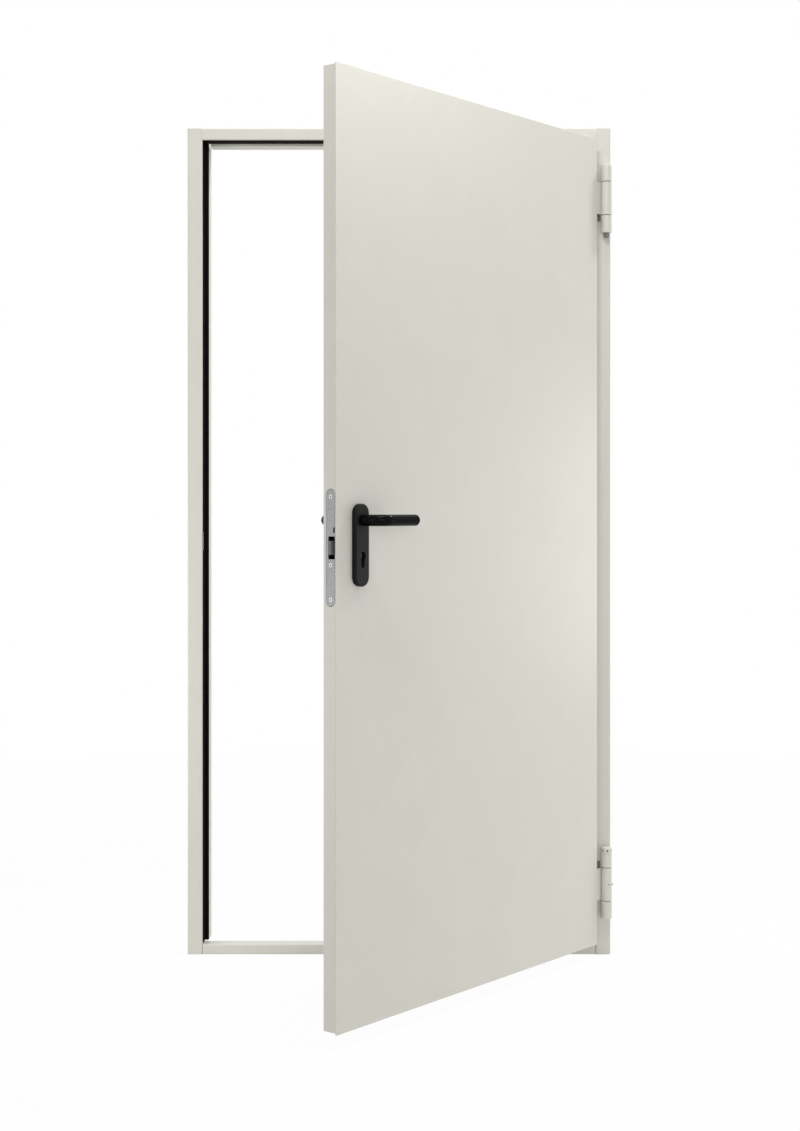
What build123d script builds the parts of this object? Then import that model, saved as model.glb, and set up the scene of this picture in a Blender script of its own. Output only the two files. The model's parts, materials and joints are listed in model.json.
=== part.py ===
from build123d import *
import os

os.makedirs("parts", exist_ok=True)

# Fire door in its frame, millimetres. X runs right, Y runs back, Z runs up.
# The origin is the middle of the threshold underside, on the floor.

# Frame
FRAME_WIDTH = 1024.0
FRAME_HEIGHT = 2000.0
FRAME_SHEET = 1.5
BEND_RADIUS = 2.6
JAMB_FLANGE = 36.0
HEAD_FLANGE = 27.8
REBATE_DEPTH = 41.0
REVEAL_DEPTH = 42.0
JAMB_STOP = 11.5
HEAD_STOP = 7.5
HEAD_STOP_GAP = 3.0
OUTER_RETURN = 25.0
BACK_RETURN = 14.0
SEAM_GAP = 0.5
THRESHOLD_HEIGHT = 23.4
STOP_FOOT_GAP = 4.0
NOTCH_WIDTH = 11.0
NOTCH_DEPTH = 7.0
POCKET_WALL = 1.5
OVERRUN = 5.0

# Seals
STRIP_THICK = 2.0
STRIP_INSET = 4.0
GASKET_WIDTH = 10.5
GASKET_THICK = 8.4
GASKET_ROUND = 3.6
GASKET_HEEL = 3.2
SEAL_TOP_GAP = 0.2

# Leaf
LEAF_OPEN_ANGLE = 52.0
LEAF_PROUD = 5.0
LEAF_THICK = 37.0
LEAF_LOCK_MARGIN = 39.0
LEAF_HINGE_MARGIN = 38.5
LEAF_BOTTOM = 31.2
LEAF_TOP = 1968.0
LIP_SIDE = 4.0
LIP_END = 3.0
SKIN = 1.2
SKIN_ROUND = 0.6
PAN_ROUND = 1.6
PART_GAP = 0.2

# Hinges
HINGE_INSET = 10.5
HINGE_STANDOFF = 14.0
KNUCKLE_RADIUS = 12.5
KNUCKLE_ROUND = 0.8
KNUCKLE_GAP = 1.8
PIN_RADIUS = 6.0
PIN_FIXED_FIT = 0.15
PIN_RUNNING_FIT = 0.4
WELD_WIDTH = 12.0
WELD_REACH = 6.0
TOP_HINGE_LOW = 1745.0
TOP_HINGE_JOINT_LOW = 1787.6
TOP_HINGE_JOINT_HIGH = 1867.8
TOP_HINGE_HIGH = 1907.0
TOP_CAP = 4.0
TOP_NOTCH = (1775.0, 1868.5)
BOTTOM_HINGE_LOW = 91.6
BOTTOM_HINGE_JOINT_LOW = 133.9
BOTTOM_HINGE_JOINT_HIGH = 214.0
BOTTOM_HINGE_HIGH = 248.0
BOTTOM_CAP = 3.0
BOTTOM_NOTCH = (133.4, 227.0)
WASHER_RADIUS = 10.0
WASHER_THICK = 1.0
SCREW_HEAD_RADIUS = 7.0
SCREW_HEAD_LENGTH = 10.0
SCREW_SHANK_LENGTH = 12.0
SCREW_SOCKET_RADIUS = 3.0
SCREW_SOCKET_DEPTH = 5.0
WING_THICK = 3.0
WING_FACE_GAP = 0.5
WING_REACH = 33.0
WING_MARGIN = 1.0
WING_BEND = 2.4
WING_SCREW_Y = (-12.0, 2.0)
WING_SCREW_OFFSET = 25.0
WING_SCREW_RADIUS = 2.4
WING_SCREW_HEAD = 4.4
WING_SCREW_HEAD_DEPTH = 2.0
WING_SCREW_LENGTH = 9.0
SCREW_FIT = 0.15
BACKING_THICK = 4.0
BACKING_HEIGHT = 120.0
BACKING_DEPTH = 28.0

# Closing spring of the bottom hinge
COLLAR_GAP = 0.5
COLLAR_HEIGHT = 13.6
COLLAR_RADIUS = 12.3
COLLAR_SHANK_RADIUS = 8.5
COLLAR_SHANK_FIT = 0.3
COLLAR_HOLE_RADIUS = 2.3
COLLAR_HOLE_DEPTH = 6.0
COLLAR_HOLE_ANGLE = -85.0
COLLAR_HOLE_SHARE = 0.5
COLLAR_HOLES = 6
SPRING_CORE_RADIUS = 4.0
SPRING_BORE_RADIUS = 10.2
SPRING_FLOOR = 7.0
SPRING_RADIUS = 7.4
SPRING_WIRE = 1.1
SPRING_PITCH = 4.6
SPRING_TURNS = 14
SPRING_END_GAP = 1.6
TENSION_PIN_Z = 174.0
TENSION_PIN_RADIUS = 2.2
TENSION_PIN_OUT = 4.2
TENSION_PIN_IN = 2.6
TENSION_PIN_ANGLE = -79.0
TENSION_HOLE_RADIUS = 1.7
TENSION_HOLE_ANGLE = -119.0

# Lock
BACKSET = 65.0
HANDLE_Z = 1055.5
CYLINDER_PITCH = 72.0
FACEPLATE_MID_FROM_HANDLE = -54.5
FACEPLATE_LENGTH = 235.0
FACEPLATE_WIDTH = 24.0
FACEPLATE_THICK = 3.0
FACEPLATE_FIT = 0.4
FACEPLATE_BEVEL = 0.6
FACEPLATE_DEPTH_IN_LEAF = 17.5
FACEPLATE_SCREWS_FROM_HANDLE = (-158.5, 47.5)
FACEPLATE_SCREW_HEAD = 4.0
FACEPLATE_SCREW_RADIUS = 2.0
FACEPLATE_SCREW_LENGTH = 14.0
FACEPLATE_SCREW_HEAD_DEPTH = 2.0
DRIVE_WIDTH = 1.6
DRIVE_LENGTH = 4.8
DRIVE_DEPTH = 1.5
CYLINDER_SCREW_FROM_HANDLE = -89.5
CYLINDER_SCREW_LENGTH = 45.0
LATCH_WINDOW_FROM_HANDLE = (-77.5, -32.0)
LATCH_WINDOW_IN_LEAF = (6.5, 23.5)
LATCH_FROM_HANDLE = (-68.5, -41.0)
LATCH_IN_LEAF = (7.0, 20.0)
LATCH_TIP = 6.2
LATCH_OUT = 12.0
LATCH_TAIL_START = 26.0
LATCH_TAIL_FROM_HANDLE = (-59.5, -49.5)
LATCH_TAIL_IN_LEAF = (10.0, 16.0)
LATCH_RISER_FROM_SPINDLE = (-34.0, -27.0)
LATCH_HOOK_FROM_HANDLE = (19.5, 24.0)
LATCH_LUG_FROM_SPINDLE = (4.5, 8.5)
LATCH_LUG_HEIGHT = 8.5
SIDE_SLOT_FROM_HANDLE = (-25.0, -14.0)
SIDE_SLOT_IN_LEAF = (6.6, 10.6)
CASE_DEPTH = 88.0
CASE_FROM_HANDLE = (-110.5, 26.5)
CASE_IN_LEAF = (6.0, 28.0)
CASE_WALL = 1.5
CASE_LUG_LENGTH = 10.0
FOLLOWER_RADIUS = 9.0
FOLLOWER_BORE_FIT = 0.5
FOLLOWER_ARM_HALF = 4.0
FOLLOWER_ARM_LENGTH = 18.5
LATCH_SPRING_RADIUS = 3.6
LATCH_SPRING_WIRE = 0.5
LATCH_SPRING_PITCH = 3.2
LATCH_SPRING_TURNS = 7
LATCH_SPRING_START = 0.9
LATCH_POST_FROM_SPINDLE = (-1.0, 4.0)
STRIKE_FROM_HANDLE = (-76.5, -33.0)
STRIKE_IN_LEAF = (6.6, 23.0)
STRIKE_BOX_DEPTH = 18.0
STRIKE_BOX_WALL = 1.4
STRIKE_BOX_RIM = 4.0

# Handle set
PLATE_WIDTH = 40.0
PLATE_LENGTH = 167.0
PLATE_MID_FROM_HANDLE = -50.0
PLATE_THICK = 12.0
PLATE_ROUND = 2.2
PLATE_BASE_THICK = 2.0
PLATE_BASE_MARGIN = 3.0
PLATE_BASE_FIT = 0.2
EURO_RADIUS = 8.75
EURO_LEG = 10.0
EURO_HEIGHT = 33.0
EURO_LEAF_GROW = 0.6
BOLTS_FROM_HANDLE = (-120.0, -34.5)
BOLT_RADIUS = 2.5
BOLT_SLEEVE_RADIUS = 3.6
BOLT_HEAD_RADIUS = 4.6
BOLT_HEAD = 2.4
BOLT_FIT = 0.3
SPINDLE_SIZE = 9.0
SPINDLE_FIT = 0.15
SPINDLE_TUNNEL = 9.5
LEVER_RADIUS = 11.7
LEVER_STANDOFF = 62.0
LEVER_REACH = 110.6
LEVER_BEND = 24.0
LEVER_GAP = 0.5
LEVER_STUB_RADIUS = 8.4
LEVER_STUB_FIT = 0.4
LEVER_STUB_LENGTH = 9.0
LEVER_SOCKET = 24.0
LEVER_END_ROUND = 6.5
LEVER_FLAT_LENGTH = 84.0
LEVER_FLAT_DEPTH = 1.1
GRUB_RADIUS = 2.4
GRUB_FROM_PLATE = 7.0
GRUB_TIP = 4.8
GRUB_HEAD = 9.6
GRUB_FIT = 0.2

# Wall anchors and corner brackets
ANCHOR_HEIGHT_SHARES = (0.125, 0.375, 0.625, 0.875)
ANCHOR_HEIGHT = 40.0
ANCHOR_THICK = 3.0
ANCHOR_START = 6.0
ANCHOR_LAP = 30.0
ANCHOR_JOG = 26.5
ANCHOR_END = 80.0
ANCHOR_HOLE_DEPTH = 60.0
ANCHOR_HOLE_RADIUS = 5.5
BRACKET_THICK = 3.0
BRACKET_INSET = 7.0
BRACKET_WIDTH = 20.0
BRACKET_HEIGHT = 17.0
BRACKET_LEG_LENGTH = 90.0
BRACKET_ARM_LENGTH = 80.0


def from_handle(offsets):
    """Heights of lock features from their offsets to the handle's axis."""
    return tuple(HANDLE_Z + offset for offset in offsets)


# Positions that follow from the sizes above
HALF_WIDTH = FRAME_WIDTH / 2
FRONT_Y = -REBATE_DEPTH / 2
STOP_Y = FRONT_Y + REBATE_DEPTH
BACK_Y = STOP_Y + REVEAL_DEPTH
WALL_X = HALF_WIDTH - JAMB_FLANGE
REVEAL_X = WALL_X - JAMB_STOP
SEAM_X = WALL_X + BEND_RADIUS
HEAD_WALL_Z = FRAME_HEIGHT - HEAD_FLANGE
HEAD_STOP_Z = HEAD_WALL_Z - HEAD_STOP
SEAL_FOOT = THRESHOLD_HEIGHT + STOP_FOOT_GAP
HINGE_X = HALF_WIDTH - HINGE_INSET
HINGE_Y = FRONT_Y - HINGE_STANDOFF
HINGE_LINE = Axis((HINGE_X, HINGE_Y, 0), (0, 0, 1))
LEAF_FRONT = FRONT_Y - LEAF_PROUD
LEAF_BACK = LEAF_FRONT + LEAF_THICK
SKIN_LOCK_X = -HALF_WIDTH + LEAF_LOCK_MARGIN
SKIN_HINGE_X = HALF_WIDTH - LEAF_HINGE_MARGIN
BODY_LOCK_X = SKIN_LOCK_X + LIP_SIDE
BODY_HINGE_X = SKIN_HINGE_X - LIP_SIDE
BODY_BOTTOM = LEAF_BOTTOM + LIP_END
BODY_TOP = LEAF_TOP - LIP_END
PAN_FRONT = LEAF_FRONT + SKIN
SPINDLE_X = BODY_LOCK_X + BACKSET
FACEPLATE_Y = LEAF_FRONT + FACEPLATE_DEPTH_IN_LEAF
CASE_X = BODY_LOCK_X + FACEPLATE_THICK
CASE_END = CASE_X + CASE_DEPTH
CYLINDER_Z = HANDLE_Z - CYLINDER_PITCH
FACEPLATE_MID_Z = HANDLE_Z + FACEPLATE_MID_FROM_HANDLE
FACEPLATE_SCREW_Z = from_handle(FACEPLATE_SCREWS_FROM_HANDLE)
CYLINDER_SCREW_Z = HANDLE_Z + CYLINDER_SCREW_FROM_HANDLE
LATCH_WINDOW_Z = from_handle(LATCH_WINDOW_FROM_HANDLE)
LATCH_Z = from_handle(LATCH_FROM_HANDLE)
LATCH_TAIL_Z = from_handle(LATCH_TAIL_FROM_HANDLE)
LATCH_HOOK_Z = from_handle(LATCH_HOOK_FROM_HANDLE)
SIDE_SLOT_Z = from_handle(SIDE_SLOT_FROM_HANDLE)
CASE_Z = from_handle(CASE_FROM_HANDLE)
STRIKE_Z = from_handle(STRIKE_FROM_HANDLE)
PLATE_MID_Z = HANDLE_Z + PLATE_MID_FROM_HANDLE
BOLT_Z = from_handle(BOLTS_FROM_HANDLE)
ANCHOR_Z = [FRAME_HEIGHT * share for share in ANCHOR_HEIGHT_SHARES]
CASE_Y = (LEAF_FRONT + CASE_IN_LEAF[0], LEAF_FRONT + CASE_IN_LEAF[1])
LATCH_Y = (LEAF_FRONT + LATCH_IN_LEAF[0], LEAF_FRONT + LATCH_IN_LEAF[1])
TAIL_Y = (LEAF_FRONT + LATCH_TAIL_IN_LEAF[0], LEAF_FRONT + LATCH_TAIL_IN_LEAF[1])
STRIKE_Y = (LEAF_FRONT + STRIKE_IN_LEAF[0], LEAF_FRONT + STRIKE_IN_LEAF[1])
RISER_X = (SPINDLE_X + LATCH_RISER_FROM_SPINDLE[0], SPINDLE_X + LATCH_RISER_FROM_SPINDLE[1])
LUG_X = (SPINDLE_X + LATCH_LUG_FROM_SPINDLE[0], SPINDLE_X + LATCH_LUG_FROM_SPINDLE[1])
POST_X = (SPINDLE_X + LATCH_POST_FROM_SPINDLE[0], SPINDLE_X + LATCH_POST_FROM_SPINDLE[1])
PLATE_FRONT = LEAF_FRONT - PLATE_THICK
PLATE_BACK = LEAF_BACK + PLATE_THICK
LEVER_FRONT_Y = LEAF_FRONT - LEVER_STANDOFF
LEVER_BACK_Y = LEAF_BACK + LEVER_STANDOFF
WING_Y = (FRONT_Y - WING_FACE_GAP - WING_THICK, FRONT_Y - WING_FACE_GAP)
KNUCKLE_HALF_GAP = KNUCKLE_GAP / 2
TOP_MID = (TOP_HINGE_JOINT_LOW + KNUCKLE_HALF_GAP, TOP_HINGE_JOINT_HIGH - KNUCKLE_HALF_GAP)
BOTTOM_MID = (BOTTOM_HINGE_JOINT_LOW + KNUCKLE_HALF_GAP, BOTTOM_HINGE_JOINT_HIGH - KNUCKLE_HALF_GAP)
TOP_WING_Z = (TOP_MID[0] + WING_MARGIN, TOP_MID[1] - WING_MARGIN)
BOTTOM_WING_Z = (BOTTOM_MID[0] + WING_MARGIN, BOTTOM_MID[1] - WING_MARGIN)
COLLAR_Z = BOTTOM_HINGE_HIGH + COLLAR_GAP
COLLAR_TOP = COLLAR_Z + COLLAR_HEIGHT
WING_SCREW_Z = [
    sum(span) / len(span) + side * WING_SCREW_OFFSET
    for span in (TOP_WING_Z, BOTTOM_WING_Z)
    for side in (-1, 1)
]
BACKING_Z = [
    (sum(span) / len(span) - BACKING_HEIGHT / 2, sum(span) / len(span) + BACKING_HEIGHT / 2)
    for span in (TOP_WING_Z, BOTTOM_WING_Z)
]
BACKING_MID_Y = sum(WING_SCREW_Y) / len(WING_SCREW_Y)
BACKING_Y = (BACKING_MID_Y - BACKING_DEPTH / 2, BACKING_MID_Y + BACKING_DEPTH / 2)
ALL_LOW = (Align.MIN, Align.MIN, Align.MIN)
BASE = (Align.CENTER, Align.CENTER, Align.MIN)


def slab(x, y, z, mode=Mode.ADD):
    """Add or cut a square block between three pairs of limits."""
    with Locations((x[0], y[0], z[0])):
        Box(x[1] - x[0], y[1] - y[0], z[1] - z[0], align=ALL_LOW, mode=mode)


def rod_x(x, y, z, radius, mode=Mode.ADD):
    """Add or cut a round bar that runs along X between two limits."""
    with Locations((x[0], y, z)):
        Cylinder(radius, x[1] - x[0], rotation=(0, 90, 0), align=BASE, mode=mode)


def rod_y(x, y, z, radius, mode=Mode.ADD):
    """Add or cut a round bar that runs along Y between two limits."""
    with Locations((x, y[0], z)):
        Cylinder(radius, y[1] - y[0], rotation=(-90, 0, 0), align=BASE, mode=mode)


def rod_z(x, y, z, radius, mode=Mode.ADD):
    """Add or cut a round bar that runs along Z between two limits."""
    with Locations((x, y, z[0])):
        Cylinder(radius, z[1] - z[0], align=BASE, mode=mode)


def keyhole(y, grow=0):
    """Cut the cylinder hole: a circle with a narrower leg below it."""
    half_leg = EURO_LEG / 2 + grow
    foot = CYLINDER_Z + EURO_RADIUS - EURO_HEIGHT + EURO_LEG / 2
    rod_y(SPINDLE_X, y, CYLINDER_Z, EURO_RADIUS + grow, Mode.SUBTRACT)
    rod_y(SPINDLE_X, y, foot, half_leg, Mode.SUBTRACT)
    slab((SPINDLE_X - half_leg, SPINDLE_X + half_leg), y, (foot, CYLINDER_Z), Mode.SUBTRACT)


def bolt_holes(y, radius):
    """Cut both holes of the through bolts that hold the plates."""
    for height in BOLT_Z:
        rod_y(SPINDLE_X, y, height, radius, Mode.SUBTRACT)


def cross_drive(x, y, z):
    """Cut the cross in a screw head that faces along X."""
    for wide, tall in ((DRIVE_LENGTH, DRIVE_WIDTH), (DRIVE_WIDTH, DRIVE_LENGTH)):
        slab(x, (y - wide / 2, y + wide / 2), (z - tall / 2, z + tall / 2), Mode.SUBTRACT)


def wing_screw_holes(heights):
    """Cut the countersunk screw holes of one hinge wing."""
    head_x = BODY_HINGE_X + WING_THICK - WING_SCREW_HEAD_DEPTH
    for height in heights:
        for depth in WING_SCREW_Y:
            rod_x((BODY_HINGE_X - OVERRUN, BODY_HINGE_X + OVERRUN), depth, height,
                  WING_SCREW_RADIUS + SCREW_FIT, Mode.SUBTRACT)
            with Locations((head_x, depth, height)):
                Cone(WING_SCREW_RADIUS + SCREW_FIT, WING_SCREW_HEAD + SCREW_FIT, WING_SCREW_HEAD_DEPTH,
                     rotation=(0, 90, 0), align=BASE, mode=Mode.SUBTRACT)


def plate_outline(margin=0):
    """Draw the round-ended outline of a handle plate, pulled in by a margin."""
    with Locations((SPINDLE_X, PLATE_MID_Z)):
        SlotOverall(PLATE_LENGTH - 2 * margin, PLATE_WIDTH - 2 * margin, rotation=90)


def faceplate_outline(grow=0):
    """Draw the round-ended outline of the lock faceplate, let out by a fit."""
    with Locations((FACEPLATE_Y, FACEPLATE_MID_Z)):
        SlotOverall(FACEPLATE_LENGTH + 2 * grow, FACEPLATE_WIDTH + 2 * grow, rotation=90)


def swing_open(piece):
    """Turn a finished leaf piece about the hinge line to its open place."""
    add(piece.part.rotate(HINGE_LINE, LEAF_OPEN_ANGLE), mode=Mode.REPLACE)


def jamb_points(side):
    """Corners of the jamb's seen line, from the outer return to the back return."""
    return [
        (side * HALF_WIDTH, FRONT_Y + OUTER_RETURN),
        (side * HALF_WIDTH, FRONT_Y),
        (side * WALL_X, FRONT_Y),
        (side * WALL_X, STOP_Y),
        (side * REVEAL_X, STOP_Y),
        (side * REVEAL_X, BACK_Y),
        (side * (REVEAL_X + BACK_RETURN), BACK_Y),
    ]


def trim_jamb(side):
    """Cut the jamb's top for the head rail and its stop clear of the threshold."""
    inner = sorted((side * (REVEAL_X - OVERRUN), side * SEAM_X))
    slab(inner, (FRONT_Y - OVERRUN, BACK_Y + OVERRUN),
         (HEAD_WALL_Z - SEAM_GAP, FRAME_HEIGHT + OVERRUN), Mode.SUBTRACT)
    deep = sorted((side * (REVEAL_X - OVERRUN), side * (REVEAL_X + BACK_RETURN + OVERRUN)))
    slab(deep, (STOP_Y - BEND_RADIUS, BACK_Y + OVERRUN), (-OVERRUN, SEAL_FOOT), Mode.SUBTRACT)


# Frame sheets

with BuildPart() as hinge_jamb:
    with BuildSketch(Plane.XY):
        with BuildLine():
            FilletPolyline(*jamb_points(1), radius=BEND_RADIUS)
            offset(amount=FRAME_SHEET, side=Side.RIGHT)
        make_face()
    extrude(amount=FRAME_HEIGHT)
    trim_jamb(1)
    for notch in (TOP_NOTCH, BOTTOM_NOTCH):
        slab((WALL_X - OVERRUN, WALL_X + NOTCH_WIDTH), (FRONT_Y - OVERRUN, FRONT_Y + NOTCH_DEPTH),
             notch, Mode.SUBTRACT)
hinge_jamb.part.label = "hinge_jamb"
export_step(hinge_jamb.part, "parts/hinge_jamb.step")

with BuildPart() as lock_jamb:
    with BuildSketch(Plane.XY):
        with BuildLine():
            FilletPolyline(*jamb_points(-1), radius=BEND_RADIUS)
            offset(amount=FRAME_SHEET, side=Side.LEFT)
        make_face()
    extrude(amount=FRAME_HEIGHT)
    trim_jamb(-1)
    slab((-WALL_X - FRAME_SHEET - OVERRUN, -WALL_X + OVERRUN), STRIKE_Y, STRIKE_Z, Mode.SUBTRACT)
lock_jamb.part.label = "lock_jamb"
export_step(lock_jamb.part, "parts/lock_jamb.step")

with BuildPart() as head_rail:
    with BuildSketch(Plane.YZ):
        with BuildLine():
            FilletPolyline(
                (FRONT_Y + OUTER_RETURN, FRAME_HEIGHT),
                (FRONT_Y, FRAME_HEIGHT),
                (FRONT_Y, HEAD_WALL_Z),
                (STOP_Y, HEAD_WALL_Z),
                (STOP_Y, HEAD_STOP_Z),
                (BACK_Y, HEAD_STOP_Z),
                (BACK_Y, HEAD_STOP_Z + BACK_RETURN),
                radius=BEND_RADIUS,
            )
            offset(amount=FRAME_SHEET, side=Side.LEFT)
        make_face()
    extrude(amount=SEAM_X - SEAM_GAP, both=True)
    for side in (-1, 1):
        end = sorted((side * (REVEAL_X - HEAD_STOP_GAP), side * HALF_WIDTH))
        slab(end, (STOP_Y - BEND_RADIUS, BACK_Y + OVERRUN),
             (HEAD_STOP_Z - OVERRUN, FRAME_HEIGHT + OVERRUN), Mode.SUBTRACT)
head_rail.part.label = "head_rail"
export_step(head_rail.part, "parts/head_rail.step")

with BuildPart() as threshold_bar:
    with BuildSketch(Plane.YZ):
        with Locations((0, THRESHOLD_HEIGHT / 2)):
            RectangleRounded(REBATE_DEPTH, THRESHOLD_HEIGHT, BEND_RADIUS)
            RectangleRounded(REBATE_DEPTH - 2 * FRAME_SHEET, THRESHOLD_HEIGHT - 2 * FRAME_SHEET,
                             BEND_RADIUS - FRAME_SHEET, mode=Mode.SUBTRACT)
    extrude(amount=WALL_X - SEAM_GAP, both=True)
threshold_bar.part.label = "threshold_bar"
export_step(threshold_bar.part, "parts/threshold_bar.step")

with BuildPart() as corner_brackets:
    plate_y = (FRONT_Y + FRAME_SHEET, FRONT_Y + FRAME_SHEET + BRACKET_THICK)
    leg_top = FRAME_HEIGHT - BRACKET_INSET
    leg_out = HALF_WIDTH - BRACKET_INSET
    for side in (-1, 1):
        slab(sorted((side * (leg_out - BRACKET_WIDTH), side * leg_out)), plate_y,
             (leg_top - BRACKET_LEG_LENGTH, leg_top))
        slab(sorted((side * (leg_out - BRACKET_ARM_LENGTH), side * leg_out)), plate_y,
             (leg_top - BRACKET_HEIGHT, leg_top))
corner_brackets.part.label = "corner_brackets"
export_step(corner_brackets.part, "parts/corner_brackets.step")

with BuildPart() as lock_wall_anchors:
    for height in ANCHOR_Z:
        anchor_z = (height - ANCHOR_HEIGHT / 2, height + ANCHOR_HEIGHT / 2)
        slab((-HALF_WIDTH + FRAME_SHEET, -HALF_WIDTH + FRAME_SHEET + ANCHOR_THICK),
             (FRONT_Y + ANCHOR_START, FRONT_Y + ANCHOR_LAP), anchor_z)
        slab((-HALF_WIDTH, -HALF_WIDTH + ANCHOR_THICK),
             (FRONT_Y + ANCHOR_JOG, FRONT_Y + ANCHOR_END), anchor_z)
        rod_x((-HALF_WIDTH - OVERRUN, -HALF_WIDTH + ANCHOR_THICK + OVERRUN),
              FRONT_Y + ANCHOR_HOLE_DEPTH, height, ANCHOR_HOLE_RADIUS, Mode.SUBTRACT)
lock_wall_anchors.part.label = "lock_wall_anchors"
export_step(lock_wall_anchors.part, "parts/lock_wall_anchors.step")

with BuildPart() as hinge_wall_anchors:
    for height in ANCHOR_Z:
        anchor_z = (height - ANCHOR_HEIGHT / 2, height + ANCHOR_HEIGHT / 2)
        slab((HALF_WIDTH - FRAME_SHEET - ANCHOR_THICK, HALF_WIDTH - FRAME_SHEET),
             (FRONT_Y + ANCHOR_START, FRONT_Y + ANCHOR_LAP), anchor_z)
        slab((HALF_WIDTH - ANCHOR_THICK, HALF_WIDTH),
             (FRONT_Y + ANCHOR_JOG, FRONT_Y + ANCHOR_END), anchor_z)
        rod_x((HALF_WIDTH - ANCHOR_THICK - OVERRUN, HALF_WIDTH + OVERRUN),
              FRONT_Y + ANCHOR_HOLE_DEPTH, height, ANCHOR_HOLE_RADIUS, Mode.SUBTRACT)
hinge_wall_anchors.part.label = "hinge_wall_anchors"
export_step(hinge_wall_anchors.part, "parts/hinge_wall_anchors.step")

# Seals of the rebate

SEAL_TOP = HEAD_WALL_Z - STRIP_THICK - SEAL_TOP_GAP
STRIP_Y = (FRONT_Y + STRIP_INSET, STOP_Y - GASKET_THICK - SEAL_TOP_GAP)

with BuildPart() as lock_jamb_gasket:
    with BuildSketch(Plane.XY.offset(SEAL_FOOT)):
        with Locations((-WALL_X + SEAL_TOP_GAP, STOP_Y - GASKET_THICK)):
            Rectangle(GASKET_WIDTH, GASKET_THICK, align=(Align.MIN, Align.MIN))
        fillet(vertices().group_by(Axis.Y)[-1].sort_by(Axis.X)[0], GASKET_HEEL)
        fillet(vertices().group_by(Axis.Y)[0], GASKET_ROUND)
    extrude(amount=SEAL_TOP - SEAL_FOOT)
lock_jamb_gasket.part.label = "lock_jamb_gasket"
export_step(lock_jamb_gasket.part, "parts/lock_jamb_gasket.step")

with BuildPart() as hinge_jamb_gasket:
    with BuildSketch(Plane.XY.offset(SEAL_FOOT)):
        with Locations((WALL_X - SEAL_TOP_GAP, STOP_Y - GASKET_THICK)):
            Rectangle(GASKET_WIDTH, GASKET_THICK, align=(Align.MAX, Align.MIN))
        fillet(vertices().group_by(Axis.Y)[-1].sort_by(Axis.X)[-1], GASKET_HEEL)
        fillet(vertices().group_by(Axis.Y)[0], GASKET_ROUND)
    extrude(amount=SEAL_TOP - SEAL_FOOT)
hinge_jamb_gasket.part.label = "hinge_jamb_gasket"
export_step(hinge_jamb_gasket.part, "parts/hinge_jamb_gasket.step")

with BuildPart() as lock_jamb_strip:
    slab((-WALL_X, -WALL_X + STRIP_THICK), STRIP_Y, (SEAL_FOOT, SEAL_TOP))
    slab((-WALL_X - OVERRUN, -WALL_X + OVERRUN), STRIKE_Y, STRIKE_Z, Mode.SUBTRACT)
lock_jamb_strip.part.label = "lock_jamb_strip"
export_step(lock_jamb_strip.part, "parts/lock_jamb_strip.step")

with BuildPart() as hinge_jamb_strip:
    slab((WALL_X - STRIP_THICK, WALL_X), STRIP_Y, (SEAL_FOOT, SEAL_TOP))
hinge_jamb_strip.part.label = "hinge_jamb_strip"
export_step(hinge_jamb_strip.part, "parts/hinge_jamb_strip.step")

with BuildPart() as head_strip:
    slab((-WALL_X, WALL_X), (FRONT_Y + STRIP_INSET, STOP_Y - BEND_RADIUS),
         (HEAD_WALL_Z - STRIP_THICK, HEAD_WALL_Z))
head_strip.part.label = "head_strip"
export_step(head_strip.part, "parts/head_strip.step")

with BuildPart() as strike_box:
    wall_back = -WALL_X - FRAME_SHEET
    box_x = (wall_back - STRIKE_BOX_DEPTH, wall_back)
    box_y = (FRONT_Y + BEND_RADIUS, STRIKE_Y[1] + STRIKE_BOX_WALL)
    box_z = (STRIKE_Z[0] - STRIKE_BOX_WALL, STRIKE_Z[1] + STRIKE_BOX_WALL)
    slab(box_x, box_y, box_z)
    slab((wall_back - STRIKE_BOX_WALL, wall_back), box_y,
         (box_z[0] - STRIKE_BOX_RIM, box_z[1] + STRIKE_BOX_RIM))
    slab((box_x[0] + STRIKE_BOX_WALL, wall_back + OVERRUN), (FRONT_Y, STRIKE_Y[1]), STRIKE_Z, Mode.SUBTRACT)
strike_box.part.label = "strike_box"
export_step(strike_box.part, "parts/strike_box.step")

with BuildPart() as hinge_pockets:
    sheet_back = FRONT_Y + FRAME_SHEET
    floor_y = (FRONT_Y + NOTCH_DEPTH, FRONT_Y + NOTCH_DEPTH + POCKET_WALL)
    side_x = (WALL_X + NOTCH_WIDTH, WALL_X + NOTCH_WIDTH + POCKET_WALL)
    for notch in (TOP_NOTCH, BOTTOM_NOTCH):
        slab((WALL_X + FRAME_SHEET, side_x[1]), floor_y, (notch[0] - POCKET_WALL, notch[1] + POCKET_WALL))
        slab((WALL_X + BEND_RADIUS, side_x[1]), (sheet_back, floor_y[1]),
             (notch[0] - POCKET_WALL, notch[1] + POCKET_WALL))
        slab((WALL_X - OVERRUN, side_x[0]), (FRONT_Y - OVERRUN, floor_y[0]), notch, Mode.SUBTRACT)
hinge_pockets.part.label = "hinge_pockets"
export_step(hinge_pockets.part, "parts/hinge_pockets.step")

# Hinges, frame side

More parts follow.
